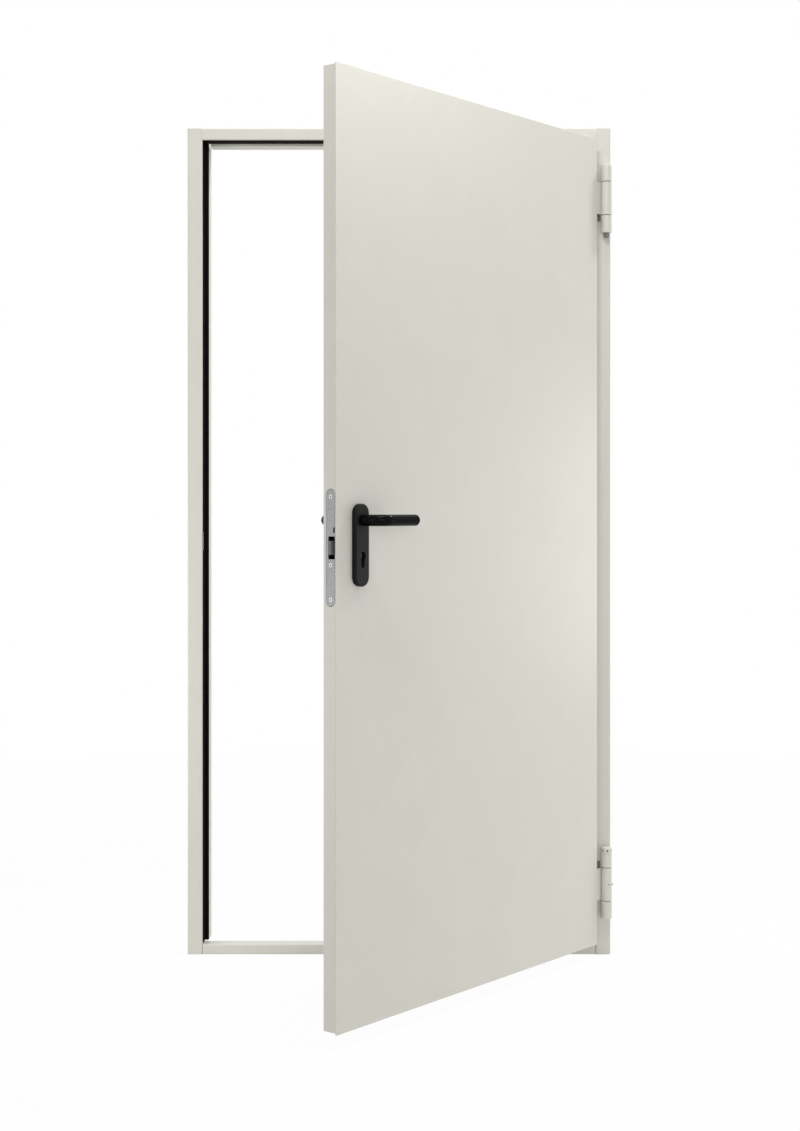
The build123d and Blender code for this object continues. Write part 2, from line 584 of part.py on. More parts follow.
with BuildPart() as top_hinge_frame_knuckles:
    low = (TOP_HINGE_LOW, TOP_HINGE_JOINT_LOW - KNUCKLE_HALF_GAP)
    high = (TOP_HINGE_JOINT_HIGH + KNUCKLE_HALF_GAP, TOP_HINGE_HIGH)
    rod_z(HINGE_X, HINGE_Y, low, KNUCKLE_RADIUS)
    rod_z(HINGE_X, HINGE_Y, high, KNUCKLE_RADIUS)
    fillet(edges().filter_by(GeomType.CIRCLE), KNUCKLE_ROUND)
    for span in (low, high):
        slab((HINGE_X - WELD_WIDTH / 2, HINGE_X + WELD_WIDTH / 2), (FRONT_Y - WELD_REACH, FRONT_Y),
             (span[0] + WING_MARGIN, span[1] - WING_MARGIN))
    rod_z(HINGE_X, HINGE_Y, (TOP_HINGE_LOW - OVERRUN, TOP_HINGE_HIGH - TOP_CAP),
          PIN_RADIUS + PIN_FIXED_FIT, Mode.SUBTRACT)
top_hinge_frame_knuckles.part.label = "top_hinge_frame_knuckles"
export_step(top_hinge_frame_knuckles.part, "parts/top_hinge_frame_knuckles.step")

with BuildPart() as top_hinge_pin:
    rod_z(HINGE_X, HINGE_Y, (TOP_HINGE_LOW + SCREW_SHANK_LENGTH, TOP_HINGE_HIGH - TOP_CAP), PIN_RADIUS)
top_hinge_pin.part.label = "top_hinge_pin"
export_step(top_hinge_pin.part, "parts/top_hinge_pin.step")

with BuildPart() as top_hinge_washers:
    for joint in (TOP_HINGE_JOINT_LOW, TOP_HINGE_JOINT_HIGH):
        washer = (joint - WASHER_THICK / 2, joint + WASHER_THICK / 2)
        rod_z(HINGE_X, HINGE_Y, washer, WASHER_RADIUS)
        rod_z(HINGE_X, HINGE_Y, washer, PIN_RADIUS + PIN_FIXED_FIT, Mode.SUBTRACT)
top_hinge_washers.part.label = "top_hinge_washers"
export_step(top_hinge_washers.part, "parts/top_hinge_washers.step")

with BuildPart() as height_screw:
    rod_z(HINGE_X, HINGE_Y, (TOP_HINGE_LOW - SCREW_HEAD_LENGTH, TOP_HINGE_LOW), SCREW_HEAD_RADIUS)
    fillet(edges().group_by(Axis.Z)[0], KNUCKLE_ROUND)
    rod_z(HINGE_X, HINGE_Y, (TOP_HINGE_LOW, TOP_HINGE_LOW + SCREW_SHANK_LENGTH), PIN_RADIUS)
    with BuildSketch(Plane.XY.offset(TOP_HINGE_LOW - SCREW_HEAD_LENGTH)):
        with Locations((HINGE_X, HINGE_Y)):
            RegularPolygon(SCREW_SOCKET_RADIUS, 6)
    extrude(amount=SCREW_SOCKET_DEPTH, mode=Mode.SUBTRACT)
height_screw.part.label = "height_screw"
export_step(height_screw.part, "parts/height_screw.step")

with BuildPart() as bottom_hinge_frame_knuckles:
    low = (BOTTOM_HINGE_LOW, BOTTOM_HINGE_JOINT_LOW - KNUCKLE_HALF_GAP)
    high = (BOTTOM_HINGE_JOINT_HIGH + KNUCKLE_HALF_GAP, BOTTOM_HINGE_HIGH)
    rod_z(HINGE_X, HINGE_Y, low, KNUCKLE_RADIUS)
    rod_z(HINGE_X, HINGE_Y, high, KNUCKLE_RADIUS)
    fillet(edges().filter_by(GeomType.CIRCLE), KNUCKLE_ROUND)
    for span in (low, high):
        slab((HINGE_X - WELD_WIDTH / 2, HINGE_X + WELD_WIDTH / 2), (FRONT_Y - WELD_REACH, FRONT_Y),
             (span[0] + WING_MARGIN, span[1] - WING_MARGIN))
    rod_z(HINGE_X, HINGE_Y, (BOTTOM_HINGE_LOW + BOTTOM_CAP, BOTTOM_HINGE_JOINT_LOW),
          PIN_RADIUS + PIN_FIXED_FIT, Mode.SUBTRACT)
    rod_z(HINGE_X, HINGE_Y, (BOTTOM_HINGE_JOINT_HIGH, BOTTOM_HINGE_HIGH + OVERRUN),
          COLLAR_SHANK_RADIUS + COLLAR_SHANK_FIT, Mode.SUBTRACT)
bottom_hinge_frame_knuckles.part.label = "bottom_hinge_frame_knuckles"
export_step(bottom_hinge_frame_knuckles.part, "parts/bottom_hinge_frame_knuckles.step")

with BuildPart() as bottom_hinge_pin:
    step_z = BOTTOM_MID[0] + SPRING_FLOOR
    rod_z(HINGE_X, HINGE_Y, (BOTTOM_HINGE_LOW + BOTTOM_CAP, step_z), PIN_RADIUS)
    rod_z(HINGE_X, HINGE_Y, (step_z, COLLAR_Z), SPRING_CORE_RADIUS)
bottom_hinge_pin.part.label = "bottom_hinge_pin"
export_step(bottom_hinge_pin.part, "parts/bottom_hinge_pin.step")

with BuildPart() as bottom_hinge_washers:
    for joint, inner in ((BOTTOM_HINGE_JOINT_LOW, PIN_RADIUS), (BOTTOM_HINGE_JOINT_HIGH, SPRING_CORE_RADIUS)):
        washer = (joint - WASHER_THICK / 2, joint + WASHER_THICK / 2)
        rod_z(HINGE_X, HINGE_Y, washer, WASHER_RADIUS)
        rod_z(HINGE_X, HINGE_Y, washer, inner + PIN_FIXED_FIT, Mode.SUBTRACT)
bottom_hinge_washers.part.label = "bottom_hinge_washers"
export_step(bottom_hinge_washers.part, "parts/bottom_hinge_washers.step")

with BuildPart() as spring_collar:
    rod_z(HINGE_X, HINGE_Y, (COLLAR_Z, COLLAR_TOP), COLLAR_RADIUS)
    fillet(edges().group_by(Axis.Z)[-1], KNUCKLE_ROUND)
    rod_z(HINGE_X, HINGE_Y, (BOTTOM_HINGE_JOINT_HIGH + KNUCKLE_GAP, COLLAR_Z), COLLAR_SHANK_RADIUS)
    rod_z(HINGE_X, HINGE_Y, (BOTTOM_HINGE_JOINT_HIGH, COLLAR_Z), SPRING_CORE_RADIUS + PIN_FIXED_FIT,
          Mode.SUBTRACT)
    hole_z = COLLAR_Z + COLLAR_HEIGHT * COLLAR_HOLE_SHARE
    with Locations((HINGE_X, HINGE_Y, hole_z)):
        with PolarLocations(COLLAR_RADIUS - COLLAR_HOLE_DEPTH, COLLAR_HOLES, COLLAR_HOLE_ANGLE):
            Cylinder(COLLAR_HOLE_RADIUS, COLLAR_HOLE_DEPTH + OVERRUN, rotation=(0, 90, 0), align=BASE,
                     mode=Mode.SUBTRACT)
spring_collar.part.label = "spring_collar"
export_step(spring_collar.part, "parts/spring_collar.step")

with BuildPart() as closing_spring:
    spring_low = BOTTOM_MID[0] + SPRING_FLOOR + SPRING_END_GAP
    with BuildLine() as coil:
        Helix(SPRING_PITCH, SPRING_PITCH * SPRING_TURNS, SPRING_RADIUS, center=(HINGE_X, HINGE_Y, spring_low))
    with BuildSketch(Plane(origin=coil.line @ 0, z_dir=coil.line % 0)):
        Circle(SPRING_WIRE)
    sweep(path=coil.line, is_frenet=True)
closing_spring.part.label = "closing_spring"
export_step(closing_spring.part, "parts/closing_spring.step")

# Leaf

with BuildPart() as front_skin:
    slab((SKIN_LOCK_X, SKIN_HINGE_X), (LEAF_FRONT, PAN_FRONT), (LEAF_BOTTOM, LEAF_TOP))
    fillet(faces().sort_by(Axis.Y)[0].edges(), SKIN_ROUND)
    through = (LEAF_FRONT - OVERRUN, PAN_FRONT + OVERRUN)
    rod_y(SPINDLE_X, through, HANDLE_Z, SPINDLE_TUNNEL, Mode.SUBTRACT)
    keyhole(through, EURO_LEAF_GROW)
    bolt_holes(through, BOLT_SLEEVE_RADIUS + BOLT_FIT)
    swing_open(front_skin)
front_skin.part.label = "front_skin"
export_step(front_skin.part, "parts/front_skin.step")

with BuildPart() as back_skin:
    slab((BODY_LOCK_X, BODY_HINGE_X), (PAN_FRONT, LEAF_BACK), (BODY_BOTTOM, BODY_TOP))
    fillet(faces().sort_by(Axis.Y)[-1].edges(), PAN_ROUND)
    slab((BODY_LOCK_X + SKIN, BODY_HINGE_X - SKIN), (PAN_FRONT - OVERRUN, LEAF_BACK - SKIN),
         (BODY_BOTTOM + SKIN, BODY_TOP - SKIN), Mode.SUBTRACT)
    through = (LEAF_BACK - OVERRUN, LEAF_BACK + OVERRUN)
    rod_y(SPINDLE_X, through, HANDLE_Z, SPINDLE_TUNNEL, Mode.SUBTRACT)
    keyhole(through, EURO_LEAF_GROW)
    bolt_holes(through, BOLT_SLEEVE_RADIUS + BOLT_FIT)
    with BuildSketch(Plane.YZ.offset(BODY_LOCK_X - OVERRUN)):
        faceplate_outline(FACEPLATE_FIT)
    extrude(amount=2 * OVERRUN, mode=Mode.SUBTRACT)
    for height in WING_SCREW_Z:
        for depth in WING_SCREW_Y:
            rod_x((BODY_HINGE_X - OVERRUN, BODY_HINGE_X + OVERRUN), depth, height,
                  WING_SCREW_RADIUS + SCREW_FIT, Mode.SUBTRACT)
    swing_open(back_skin)
back_skin.part.label = "back_skin"
export_step(back_skin.part, "parts/back_skin.step")

with BuildPart() as core:
    slab((BODY_LOCK_X + SKIN, BODY_HINGE_X - SKIN), (PAN_FRONT, LEAF_BACK - SKIN),
         (BODY_BOTTOM + SKIN, BODY_TOP - SKIN))
    half_length = FACEPLATE_LENGTH / 2 + FACEPLATE_FIT
    half_width = FACEPLATE_WIDTH / 2 + FACEPLATE_FIT
    slab((BODY_LOCK_X, CASE_X + PART_GAP), (FACEPLATE_Y - half_width, FACEPLATE_Y + half_width),
         (FACEPLATE_MID_Z - half_length, FACEPLATE_MID_Z + half_length), Mode.SUBTRACT)
    slab((BODY_LOCK_X, CASE_END + PART_GAP),
         (CASE_Y[0] - CASE_WALL - PART_GAP, CASE_Y[1] + PART_GAP),
         (CASE_Z[0] - CASE_LUG_LENGTH, CASE_Z[1] + PART_GAP), Mode.SUBTRACT)
    for height in FACEPLATE_SCREW_Z:
        rod_x((BODY_LOCK_X, BODY_LOCK_X + FACEPLATE_SCREW_LENGTH + OVERRUN), FACEPLATE_Y, height,
              FACEPLATE_SCREW_RADIUS + SCREW_FIT, Mode.SUBTRACT)
    through = (LEAF_FRONT - OVERRUN, LEAF_BACK + OVERRUN)
    rod_y(SPINDLE_X, through, HANDLE_Z, SPINDLE_TUNNEL, Mode.SUBTRACT)
    keyhole(through, EURO_LEAF_GROW)
    bolt_holes(through, BOLT_SLEEVE_RADIUS + BOLT_FIT)
    for span in BACKING_Z:
        slab((BODY_HINGE_X - SKIN - BACKING_THICK, BODY_HINGE_X), BACKING_Y, span, Mode.SUBTRACT)
    for height in WING_SCREW_Z:
        for depth in WING_SCREW_Y:
            rod_x((BODY_HINGE_X - WING_SCREW_LENGTH - OVERRUN, BODY_HINGE_X), depth, height,
                  WING_SCREW_RADIUS + SCREW_FIT, Mode.SUBTRACT)
    swing_open(core)
core.part.label = "core"
export_step(core.part, "parts/core.step")

with BuildPart() as hinge_backing_plates:
    for span in BACKING_Z:
        slab((BODY_HINGE_X - SKIN - BACKING_THICK, BODY_HINGE_X - SKIN), BACKING_Y, span)
    for height in WING_SCREW_Z:
        for depth in WING_SCREW_Y:
            rod_x((BODY_HINGE_X - WING_SCREW_LENGTH - OVERRUN, BODY_HINGE_X), depth, height,
                  WING_SCREW_RADIUS + SCREW_FIT, Mode.SUBTRACT)
    swing_open(hinge_backing_plates)
hinge_backing_plates.part.label = "hinge_backing_plates"
export_step(hinge_backing_plates.part, "parts/hinge_backing_plates.step")

with BuildPart() as top_hinge_leaf_wing:
    slab((BODY_HINGE_X, HINGE_X), WING_Y, TOP_WING_Z)
    slab((BODY_HINGE_X, BODY_HINGE_X + WING_THICK), (WING_Y[0], WING_Y[0] + WING_REACH), TOP_WING_Z)
    fillet(edges().filter_by(Axis.Z).group_by(Axis.Y)[0].sort_by(Axis.X)[0], WING_BEND)
    rod_z(HINGE_X, HINGE_Y, TOP_MID, KNUCKLE_RADIUS)
    fillet(edges().filter_by(GeomType.CIRCLE).group_by(Axis.Z)[-1], KNUCKLE_ROUND)
    rod_z(HINGE_X, HINGE_Y, (TOP_MID[0] - OVERRUN, TOP_MID[1] + OVERRUN), PIN_RADIUS + PIN_RUNNING_FIT,
          Mode.SUBTRACT)
    wing_screw_holes(WING_SCREW_Z[:2])
    swing_open(top_hinge_leaf_wing)
top_hinge_leaf_wing.part.label = "top_hinge_leaf_wing"
export_step(top_hinge_leaf_wing.part, "parts/top_hinge_leaf_wing.step")

with BuildPart() as bottom_hinge_leaf_wing:
    slab((BODY_HINGE_X, HINGE_X), WING_Y, BOTTOM_WING_Z)
    slab((BODY_HINGE_X, BODY_HINGE_X + WING_THICK), (WING_Y[0], WING_Y[0] + WING_REACH), BOTTOM_WING_Z)
    fillet(edges().filter_by(Axis.Z).group_by(Axis.Y)[0].sort_by(Axis.X)[0], WING_BEND)
    rod_z(HINGE_X, HINGE_Y, BOTTOM_MID, KNUCKLE_RADIUS)
    fillet(edges().filter_by(GeomType.CIRCLE).group_by(Axis.Z)[-1], KNUCKLE_ROUND)
    rod_z(HINGE_X, HINGE_Y, (BOTTOM_MID[0] - OVERRUN, BOTTOM_MID[1]), PIN_RADIUS + PIN_RUNNING_FIT,
          Mode.SUBTRACT)
    rod_z(HINGE_X, HINGE_Y, (BOTTOM_MID[0] + SPRING_FLOOR, BOTTOM_MID[1] + OVERRUN), SPRING_BORE_RADIUS,
          Mode.SUBTRACT)
    for turn, radius in ((TENSION_PIN_ANGLE, TENSION_PIN_RADIUS + SCREW_FIT),
                         (TENSION_HOLE_ANGLE, TENSION_HOLE_RADIUS)):
        with Locations(Location((HINGE_X, HINGE_Y, TENSION_PIN_Z), (0, 0, turn))):
            with Locations((SPRING_BORE_RADIUS - WING_MARGIN, 0, 0)):
                Cylinder(radius, KNUCKLE_RADIUS, rotation=(0, 90, 0), align=BASE, mode=Mode.SUBTRACT)
    wing_screw_holes(WING_SCREW_Z[2:])
    swing_open(bottom_hinge_leaf_wing)
bottom_hinge_leaf_wing.part.label = "bottom_hinge_leaf_wing"
export_step(bottom_hinge_leaf_wing.part, "parts/bottom_hinge_leaf_wing.step")

with BuildPart() as wing_screws:
    face_x = BODY_HINGE_X + WING_THICK
    head_x = face_x - WING_SCREW_HEAD_DEPTH
    for height in WING_SCREW_Z:
        for depth in WING_SCREW_Y:
            rod_x((BODY_HINGE_X - WING_SCREW_LENGTH, head_x), depth, height, WING_SCREW_RADIUS)
            with Locations((head_x, depth, height)):
                Cone(WING_SCREW_RADIUS, WING_SCREW_HEAD, WING_SCREW_HEAD_DEPTH,
                     rotation=(0, 90, 0), align=BASE)
            cross_drive((face_x - DRIVE_DEPTH, face_x + OVERRUN), depth, height)
    swing_open(wing_screws)
wing_screws.part.label = "wing_screws"
export_step(wing_screws.part, "parts/wing_screws.step")

with BuildPart() as tension_pin:
    with Locations(Location((HINGE_X, HINGE_Y, TENSION_PIN_Z), (0, 0, TENSION_PIN_ANGLE))):
        with Locations((KNUCKLE_RADIUS - TENSION_PIN_IN, 0, 0)):
            Cylinder(TENSION_PIN_RADIUS, TENSION_PIN_IN + TENSION_PIN_OUT, rotation=(0, 90, 0), align=BASE)
    swing_open(tension_pin)
tension_pin.part.label = "tension_pin"
export_step(tension_pin.part, "parts/tension_pin.step")

# Lock

with BuildPart() as lock_faceplate:
    with BuildSketch(Plane.YZ.offset(BODY_LOCK_X)):
        faceplate_outline()
    extrude(amount=FACEPLATE_THICK)
    chamfer(faces().sort_by(Axis.X)[0].edges(), FACEPLATE_BEVEL)
    through = (BODY_LOCK_X - OVERRUN, BODY_LOCK_X + FACEPLATE_THICK + OVERRUN)
    for height in FACEPLATE_SCREW_Z + (CYLINDER_SCREW_Z,):
        rod_x(through, FACEPLATE_Y, height, FACEPLATE_SCREW_RADIUS + SCREW_FIT, Mode.SUBTRACT)
        with Locations((BODY_LOCK_X, FACEPLATE_Y, height)):
            Cone(FACEPLATE_SCREW_HEAD + SCREW_FIT, FACEPLATE_SCREW_RADIUS + SCREW_FIT,
                 FACEPLATE_SCREW_HEAD_DEPTH, rotation=(0, 90, 0), align=BASE, mode=Mode.SUBTRACT)
    slab(through, (LEAF_FRONT + LATCH_WINDOW_IN_LEAF[0], LEAF_FRONT + LATCH_WINDOW_IN_LEAF[1]),
         LATCH_WINDOW_Z, Mode.SUBTRACT)
    slab(through, (LEAF_FRONT + SIDE_SLOT_IN_LEAF[0], LEAF_FRONT + SIDE_SLOT_IN_LEAF[1]),
         SIDE_SLOT_Z, Mode.SUBTRACT)
    swing_open(lock_faceplate)
lock_faceplate.part.label = "lock_faceplate"
export_step(lock_faceplate.part, "parts/lock_faceplate.step")

with BuildPart() as lock_case:
    slab((CASE_X, CASE_END), CASE_Y, CASE_Z)
    slab((CASE_X + CASE_WALL, CASE_END - CASE_WALL), (CASE_Y[0] - OVERRUN, CASE_Y[1] - CASE_WALL),
         (CASE_Z[0] + CASE_WALL, CASE_Z[1] - CASE_WALL), Mode.SUBTRACT)
    slab((CASE_X - OVERRUN, CASE_X + OVERRUN),
         (LEAF_FRONT + LATCH_WINDOW_IN_LEAF[0], LEAF_FRONT + LATCH_WINDOW_IN_LEAF[1]),
         LATCH_WINDOW_Z, Mode.SUBTRACT)
    slab(POST_X, (TAIL_Y[0], CASE_Y[1] - CASE_WALL), LATCH_TAIL_Z)
    rod_x((CASE_X - OVERRUN, CASE_X + OVERRUN), FACEPLATE_Y, CYLINDER_SCREW_Z,
          FACEPLATE_SCREW_RADIUS + SCREW_FIT, Mode.SUBTRACT)
    through = (CASE_Y[1] - OVERRUN, CASE_Y[1] + OVERRUN)
    rod_y(SPINDLE_X, through, HANDLE_Z, FOLLOWER_RADIUS + FOLLOWER_BORE_FIT, Mode.SUBTRACT)
    keyhole(through, EURO_LEAF_GROW)
    bolt_holes(through, BOLT_SLEEVE_RADIUS + BOLT_FIT)
    swing_open(lock_case)
lock_case.part.label = "lock_case"
export_step(lock_case.part, "parts/lock_case.step")

with BuildPart() as lock_cover:
    slab((CASE_X, CASE_END), (CASE_Y[0] - CASE_WALL, CASE_Y[0]), CASE_Z)
    through = (CASE_Y[0] - OVERRUN, CASE_Y[0] + OVERRUN)
    rod_y(SPINDLE_X, through, HANDLE_Z, FOLLOWER_RADIUS + FOLLOWER_BORE_FIT, Mode.SUBTRACT)
    keyhole(through, EURO_LEAF_GROW)
    bolt_holes(through, BOLT_SLEEVE_RADIUS + BOLT_FIT)
    swing_open(lock_cover)
lock_cover.part.label = "lock_cover"
export_step(lock_cover.part, "parts/lock_cover.step")

with BuildPart() as faceplate_screws:
    for height in FACEPLATE_SCREW_Z:
        with Locations((BODY_LOCK_X, FACEPLATE_Y, height)):
            Cone(FACEPLATE_SCREW_HEAD, FACEPLATE_SCREW_RADIUS, FACEPLATE_SCREW_HEAD_DEPTH,
                 rotation=(0, 90, 0), align=BASE)
        rod_x((BODY_LOCK_X + FACEPLATE_SCREW_HEAD_DEPTH, BODY_LOCK_X + FACEPLATE_SCREW_LENGTH), FACEPLATE_Y,
              height, FACEPLATE_SCREW_RADIUS)
        cross_drive((BODY_LOCK_X - OVERRUN, BODY_LOCK_X + DRIVE_DEPTH), FACEPLATE_Y, height)
    swing_open(faceplate_screws)
faceplate_screws.part.label = "faceplate_screws"
export_step(faceplate_screws.part, "parts/faceplate_screws.step")

with BuildPart() as cylinder_screw:
    with Locations((BODY_LOCK_X, FACEPLATE_Y, CYLINDER_SCREW_Z)):
        Cone(FACEPLATE_SCREW_HEAD, FACEPLATE_SCREW_RADIUS, FACEPLATE_SCREW_HEAD_DEPTH,
             rotation=(0, 90, 0), align=BASE)
    rod_x((BODY_LOCK_X + FACEPLATE_SCREW_HEAD_DEPTH, BODY_LOCK_X + CYLINDER_SCREW_LENGTH), FACEPLATE_Y,
          CYLINDER_SCREW_Z, FACEPLATE_SCREW_RADIUS)
    cross_drive((BODY_LOCK_X - OVERRUN, BODY_LOCK_X + DRIVE_DEPTH), FACEPLATE_Y, CYLINDER_SCREW_Z)
    swing_open(cylinder_screw)
cylinder_screw.part.label = "cylinder_screw"
export_step(cylinder_screw.part, "parts/cylinder_screw.step")

with BuildPart() as latch_bolt:
    tip_x = BODY_LOCK_X - LATCH_OUT
    heel_x = BODY_LOCK_X + LATCH_TAIL_START
    with BuildSketch(Plane.XY.offset(LATCH_Z[0])):
        with BuildLine():
            Polyline(
                (heel_x, LATCH_Y[0]),
                (tip_x, LATCH_Y[0]),
                (tip_x, LATCH_Y[0] + LATCH_TIP),
                (BODY_LOCK_X, LATCH_Y[1]),
                (heel_x, LATCH_Y[1]),
                close=True,
            )
        make_face()
    extrude(amount=LATCH_Z[1] - LATCH_Z[0])
    slab((heel_x - OVERRUN, RISER_X[1]), TAIL_Y, LATCH_TAIL_Z)
    slab(RISER_X, TAIL_Y, (LATCH_TAIL_Z[0], LATCH_HOOK_Z[1]))
    slab((RISER_X[0], LUG_X[1]), TAIL_Y, LATCH_HOOK_Z)
    slab(LUG_X, TAIL_Y, (HANDLE_Z + LATCH_LUG_HEIGHT, LATCH_HOOK_Z[1]))
    swing_open(latch_bolt)
latch_bolt.part.label = "latch_bolt"
export_step(latch_bolt.part, "parts/latch_bolt.step")

with BuildPart() as latch_spring:
    spring_mid_y = sum(TAIL_Y) / len(TAIL_Y)
    spring_mid_z = sum(LATCH_TAIL_Z) / len(LATCH_TAIL_Z)
    with BuildLine() as wind:
        Helix(LATCH_SPRING_PITCH, LATCH_SPRING_PITCH * LATCH_SPRING_TURNS, LATCH_SPRING_RADIUS,
              center=(RISER_X[1] + LATCH_SPRING_START, spring_mid_y, spring_mid_z), direction=(1, 0, 0))
    with BuildSketch(Plane(origin=wind.line @ 0, z_dir=wind.line % 0)):
        Circle(LATCH_SPRING_WIRE)
    sweep(path=wind.line, is_frenet=True)
    swing_open(latch_spring)
latch_spring.part.label = "latch_spring"
export_step(latch_spring.part, "parts/latch_spring.step")

# Handle set

with BuildPart() as front_plate:
    with BuildSketch(Plane.XZ.offset(-LEAF_FRONT)):
        plate_outline()
    extrude(amount=PLATE_THICK)
    fillet(faces().sort_by(Axis.Y)[0].edges(), PLATE_ROUND)
    with BuildSketch(Plane.XZ.offset(-LEAF_FRONT)):
        plate_outline(PLATE_BASE_MARGIN)
    extrude(amount=PLATE_BASE_THICK + BOLT_HEAD + BOLT_FIT, mode=Mode.SUBTRACT)
    through = (PLATE_FRONT - OVERRUN, LEAF_FRONT + OVERRUN)
    rod_y(SPINDLE_X, through, HANDLE_Z, LEVER_STUB_RADIUS + LEVER_STUB_FIT, Mode.SUBTRACT)
    keyhole(through)
    swing_open(front_plate)
front_plate.part.label = "front_plate"
export_step(front_plate.part, "parts/front_plate.step")

with BuildPart() as back_plate:
    with BuildSketch(Plane.XZ.offset(-LEAF_BACK)):
        plate_outline()
    extrude(amount=-PLATE_THICK)
    fillet(faces().sort_by(Axis.Y)[-1].edges(), PLATE_ROUND)
    with BuildSketch(Plane.XZ.offset(-LEAF_BACK)):
        plate_outline(PLATE_BASE_MARGIN)
    extrude(amount=-PLATE_BASE_THICK - BOLT_HEAD - BOLT_FIT, mode=Mode.SUBTRACT)
    through = (LEAF_BACK - OVERRUN, PLATE_BACK + OVERRUN)
    rod_y(SPINDLE_X, through, HANDLE_Z, LEVER_STUB_RADIUS + LEVER_STUB_FIT, Mode.SUBTRACT)
    keyhole(through)
    swing_open(back_plate)
back_plate.part.label = "back_plate"
export_step(back_plate.part, "parts/back_plate.step")

BASE_MARGIN = PLATE_BASE_MARGIN + PLATE_BASE_FIT

with BuildPart() as front_base_plate:
    with BuildSketch(Plane.XZ.offset(-LEAF_FRONT)):
        plate_outline(BASE_MARGIN)
    extrude(amount=PLATE_BASE_THICK)
    through = (PLATE_FRONT - OVERRUN, LEAF_FRONT + OVERRUN)
    rod_y(SPINDLE_X, through, HANDLE_Z, LEVER_STUB_RADIUS + LEVER_STUB_FIT, Mode.SUBTRACT)
    keyhole(through, EURO_LEAF_GROW)
    bolt_holes(through, BOLT_RADIUS + BOLT_FIT)
    swing_open(front_base_plate)
front_base_plate.part.label = "front_base_plate"
export_step(front_base_plate.part, "parts/front_base_plate.step")

with BuildPart() as back_base_plate:
    with BuildSketch(Plane.XZ.offset(-LEAF_BACK)):
        plate_outline(BASE_MARGIN)
    extrude(amount=-PLATE_BASE_THICK)
    through = (LEAF_BACK - OVERRUN, PLATE_BACK + OVERRUN)
    rod_y(SPINDLE_X, through, HANDLE_Z, LEVER_STUB_RADIUS + LEVER_STUB_FIT, Mode.SUBTRACT)
    keyhole(through, EURO_LEAF_GROW)
    bolt_holes(through, BOLT_RADIUS + BOLT_FIT)
    swing_open(back_base_plate)
back_base_plate.part.label = "back_base_plate"
export_step(back_base_plate.part, "parts/back_base_plate.step")

with BuildPart() as plate_bolts:
    front_face = LEAF_FRONT - PLATE_BASE_THICK
    back_face = LEAF_BACK + PLATE_BASE_THICK
    for height in BOLT_Z:
        rod_y(SPINDLE_X, (front_face - BOLT_HEAD, front_face), height, BOLT_HEAD_RADIUS)
        rod_y(SPINDLE_X, (front_face, back_face), height, BOLT_RADIUS)
        rod_y(SPINDLE_X, (LEAF_FRONT, LEAF_BACK), height, BOLT_SLEEVE_RADIUS)
        rod_y(SPINDLE_X, (back_face, back_face + BOLT_HEAD), height, BOLT_HEAD_RADIUS)
    swing_open(plate_bolts)
plate_bolts.part.label = "plate_bolts"
export_step(plate_bolts.part, "parts/plate_bolts.step")

SOCKET_HALF = SPINDLE_SIZE / 2 + SPINDLE_FIT
SOCKET_X = (SPINDLE_X - SOCKET_HALF, SPINDLE_X + SOCKET_HALF)
SOCKET_Z = (HANDLE_Z - SOCKET_HALF, HANDLE_Z + SOCKET_HALF)

with BuildPart() as front_lever:
    neck_y = PLATE_FRONT - LEVER_GAP
    with BuildLine(Plane.XY.offset(HANDLE_Z)) as front_path:
        Line((SPINDLE_X, neck_y), (SPINDLE_X, LEVER_FRONT_Y + LEVER_BEND))
        JernArc(front_path.line @ 1, (0, -1), LEVER_BEND, 90)
        Line(front_path.line @ 1, (SPINDLE_X + LEVER_REACH, LEVER_FRONT_Y))
    with BuildSketch(Plane(origin=front_path.line @ 0, z_dir=front_path.line % 0)):
        Circle(LEVER_RADIUS)
    sweep(path=front_path.line)
    fillet(faces().sort_by(Axis.X)[-1].edges(), LEVER_END_ROUND)
    flat_y = LEVER_FRONT_Y - LEVER_RADIUS + LEVER_FLAT_DEPTH
    slab((SPINDLE_X + LEVER_REACH - LEVER_FLAT_LENGTH, SPINDLE_X + LEVER_REACH + OVERRUN),
         (flat_y - OVERRUN, flat_y), (HANDLE_Z - LEVER_RADIUS, HANDLE_Z + LEVER_RADIUS), Mode.SUBTRACT)
    rod_y(SPINDLE_X, (neck_y - LEVER_GAP, neck_y + LEVER_STUB_LENGTH), HANDLE_Z, LEVER_STUB_RADIUS)
    stub_y = neck_y + LEVER_STUB_LENGTH
    slab(SOCKET_X, (stub_y - LEVER_SOCKET, stub_y + OVERRUN), SOCKET_Z, Mode.SUBTRACT)
    rod_z(SPINDLE_X, neck_y - GRUB_FROM_PLATE, (HANDLE_Z - LEVER_RADIUS - OVERRUN, HANDLE_Z),
          GRUB_RADIUS + GRUB_FIT, Mode.SUBTRACT)
    swing_open(front_lever)
front_lever.part.label = "front_lever"
export_step(front_lever.part, "parts/front_lever.step")

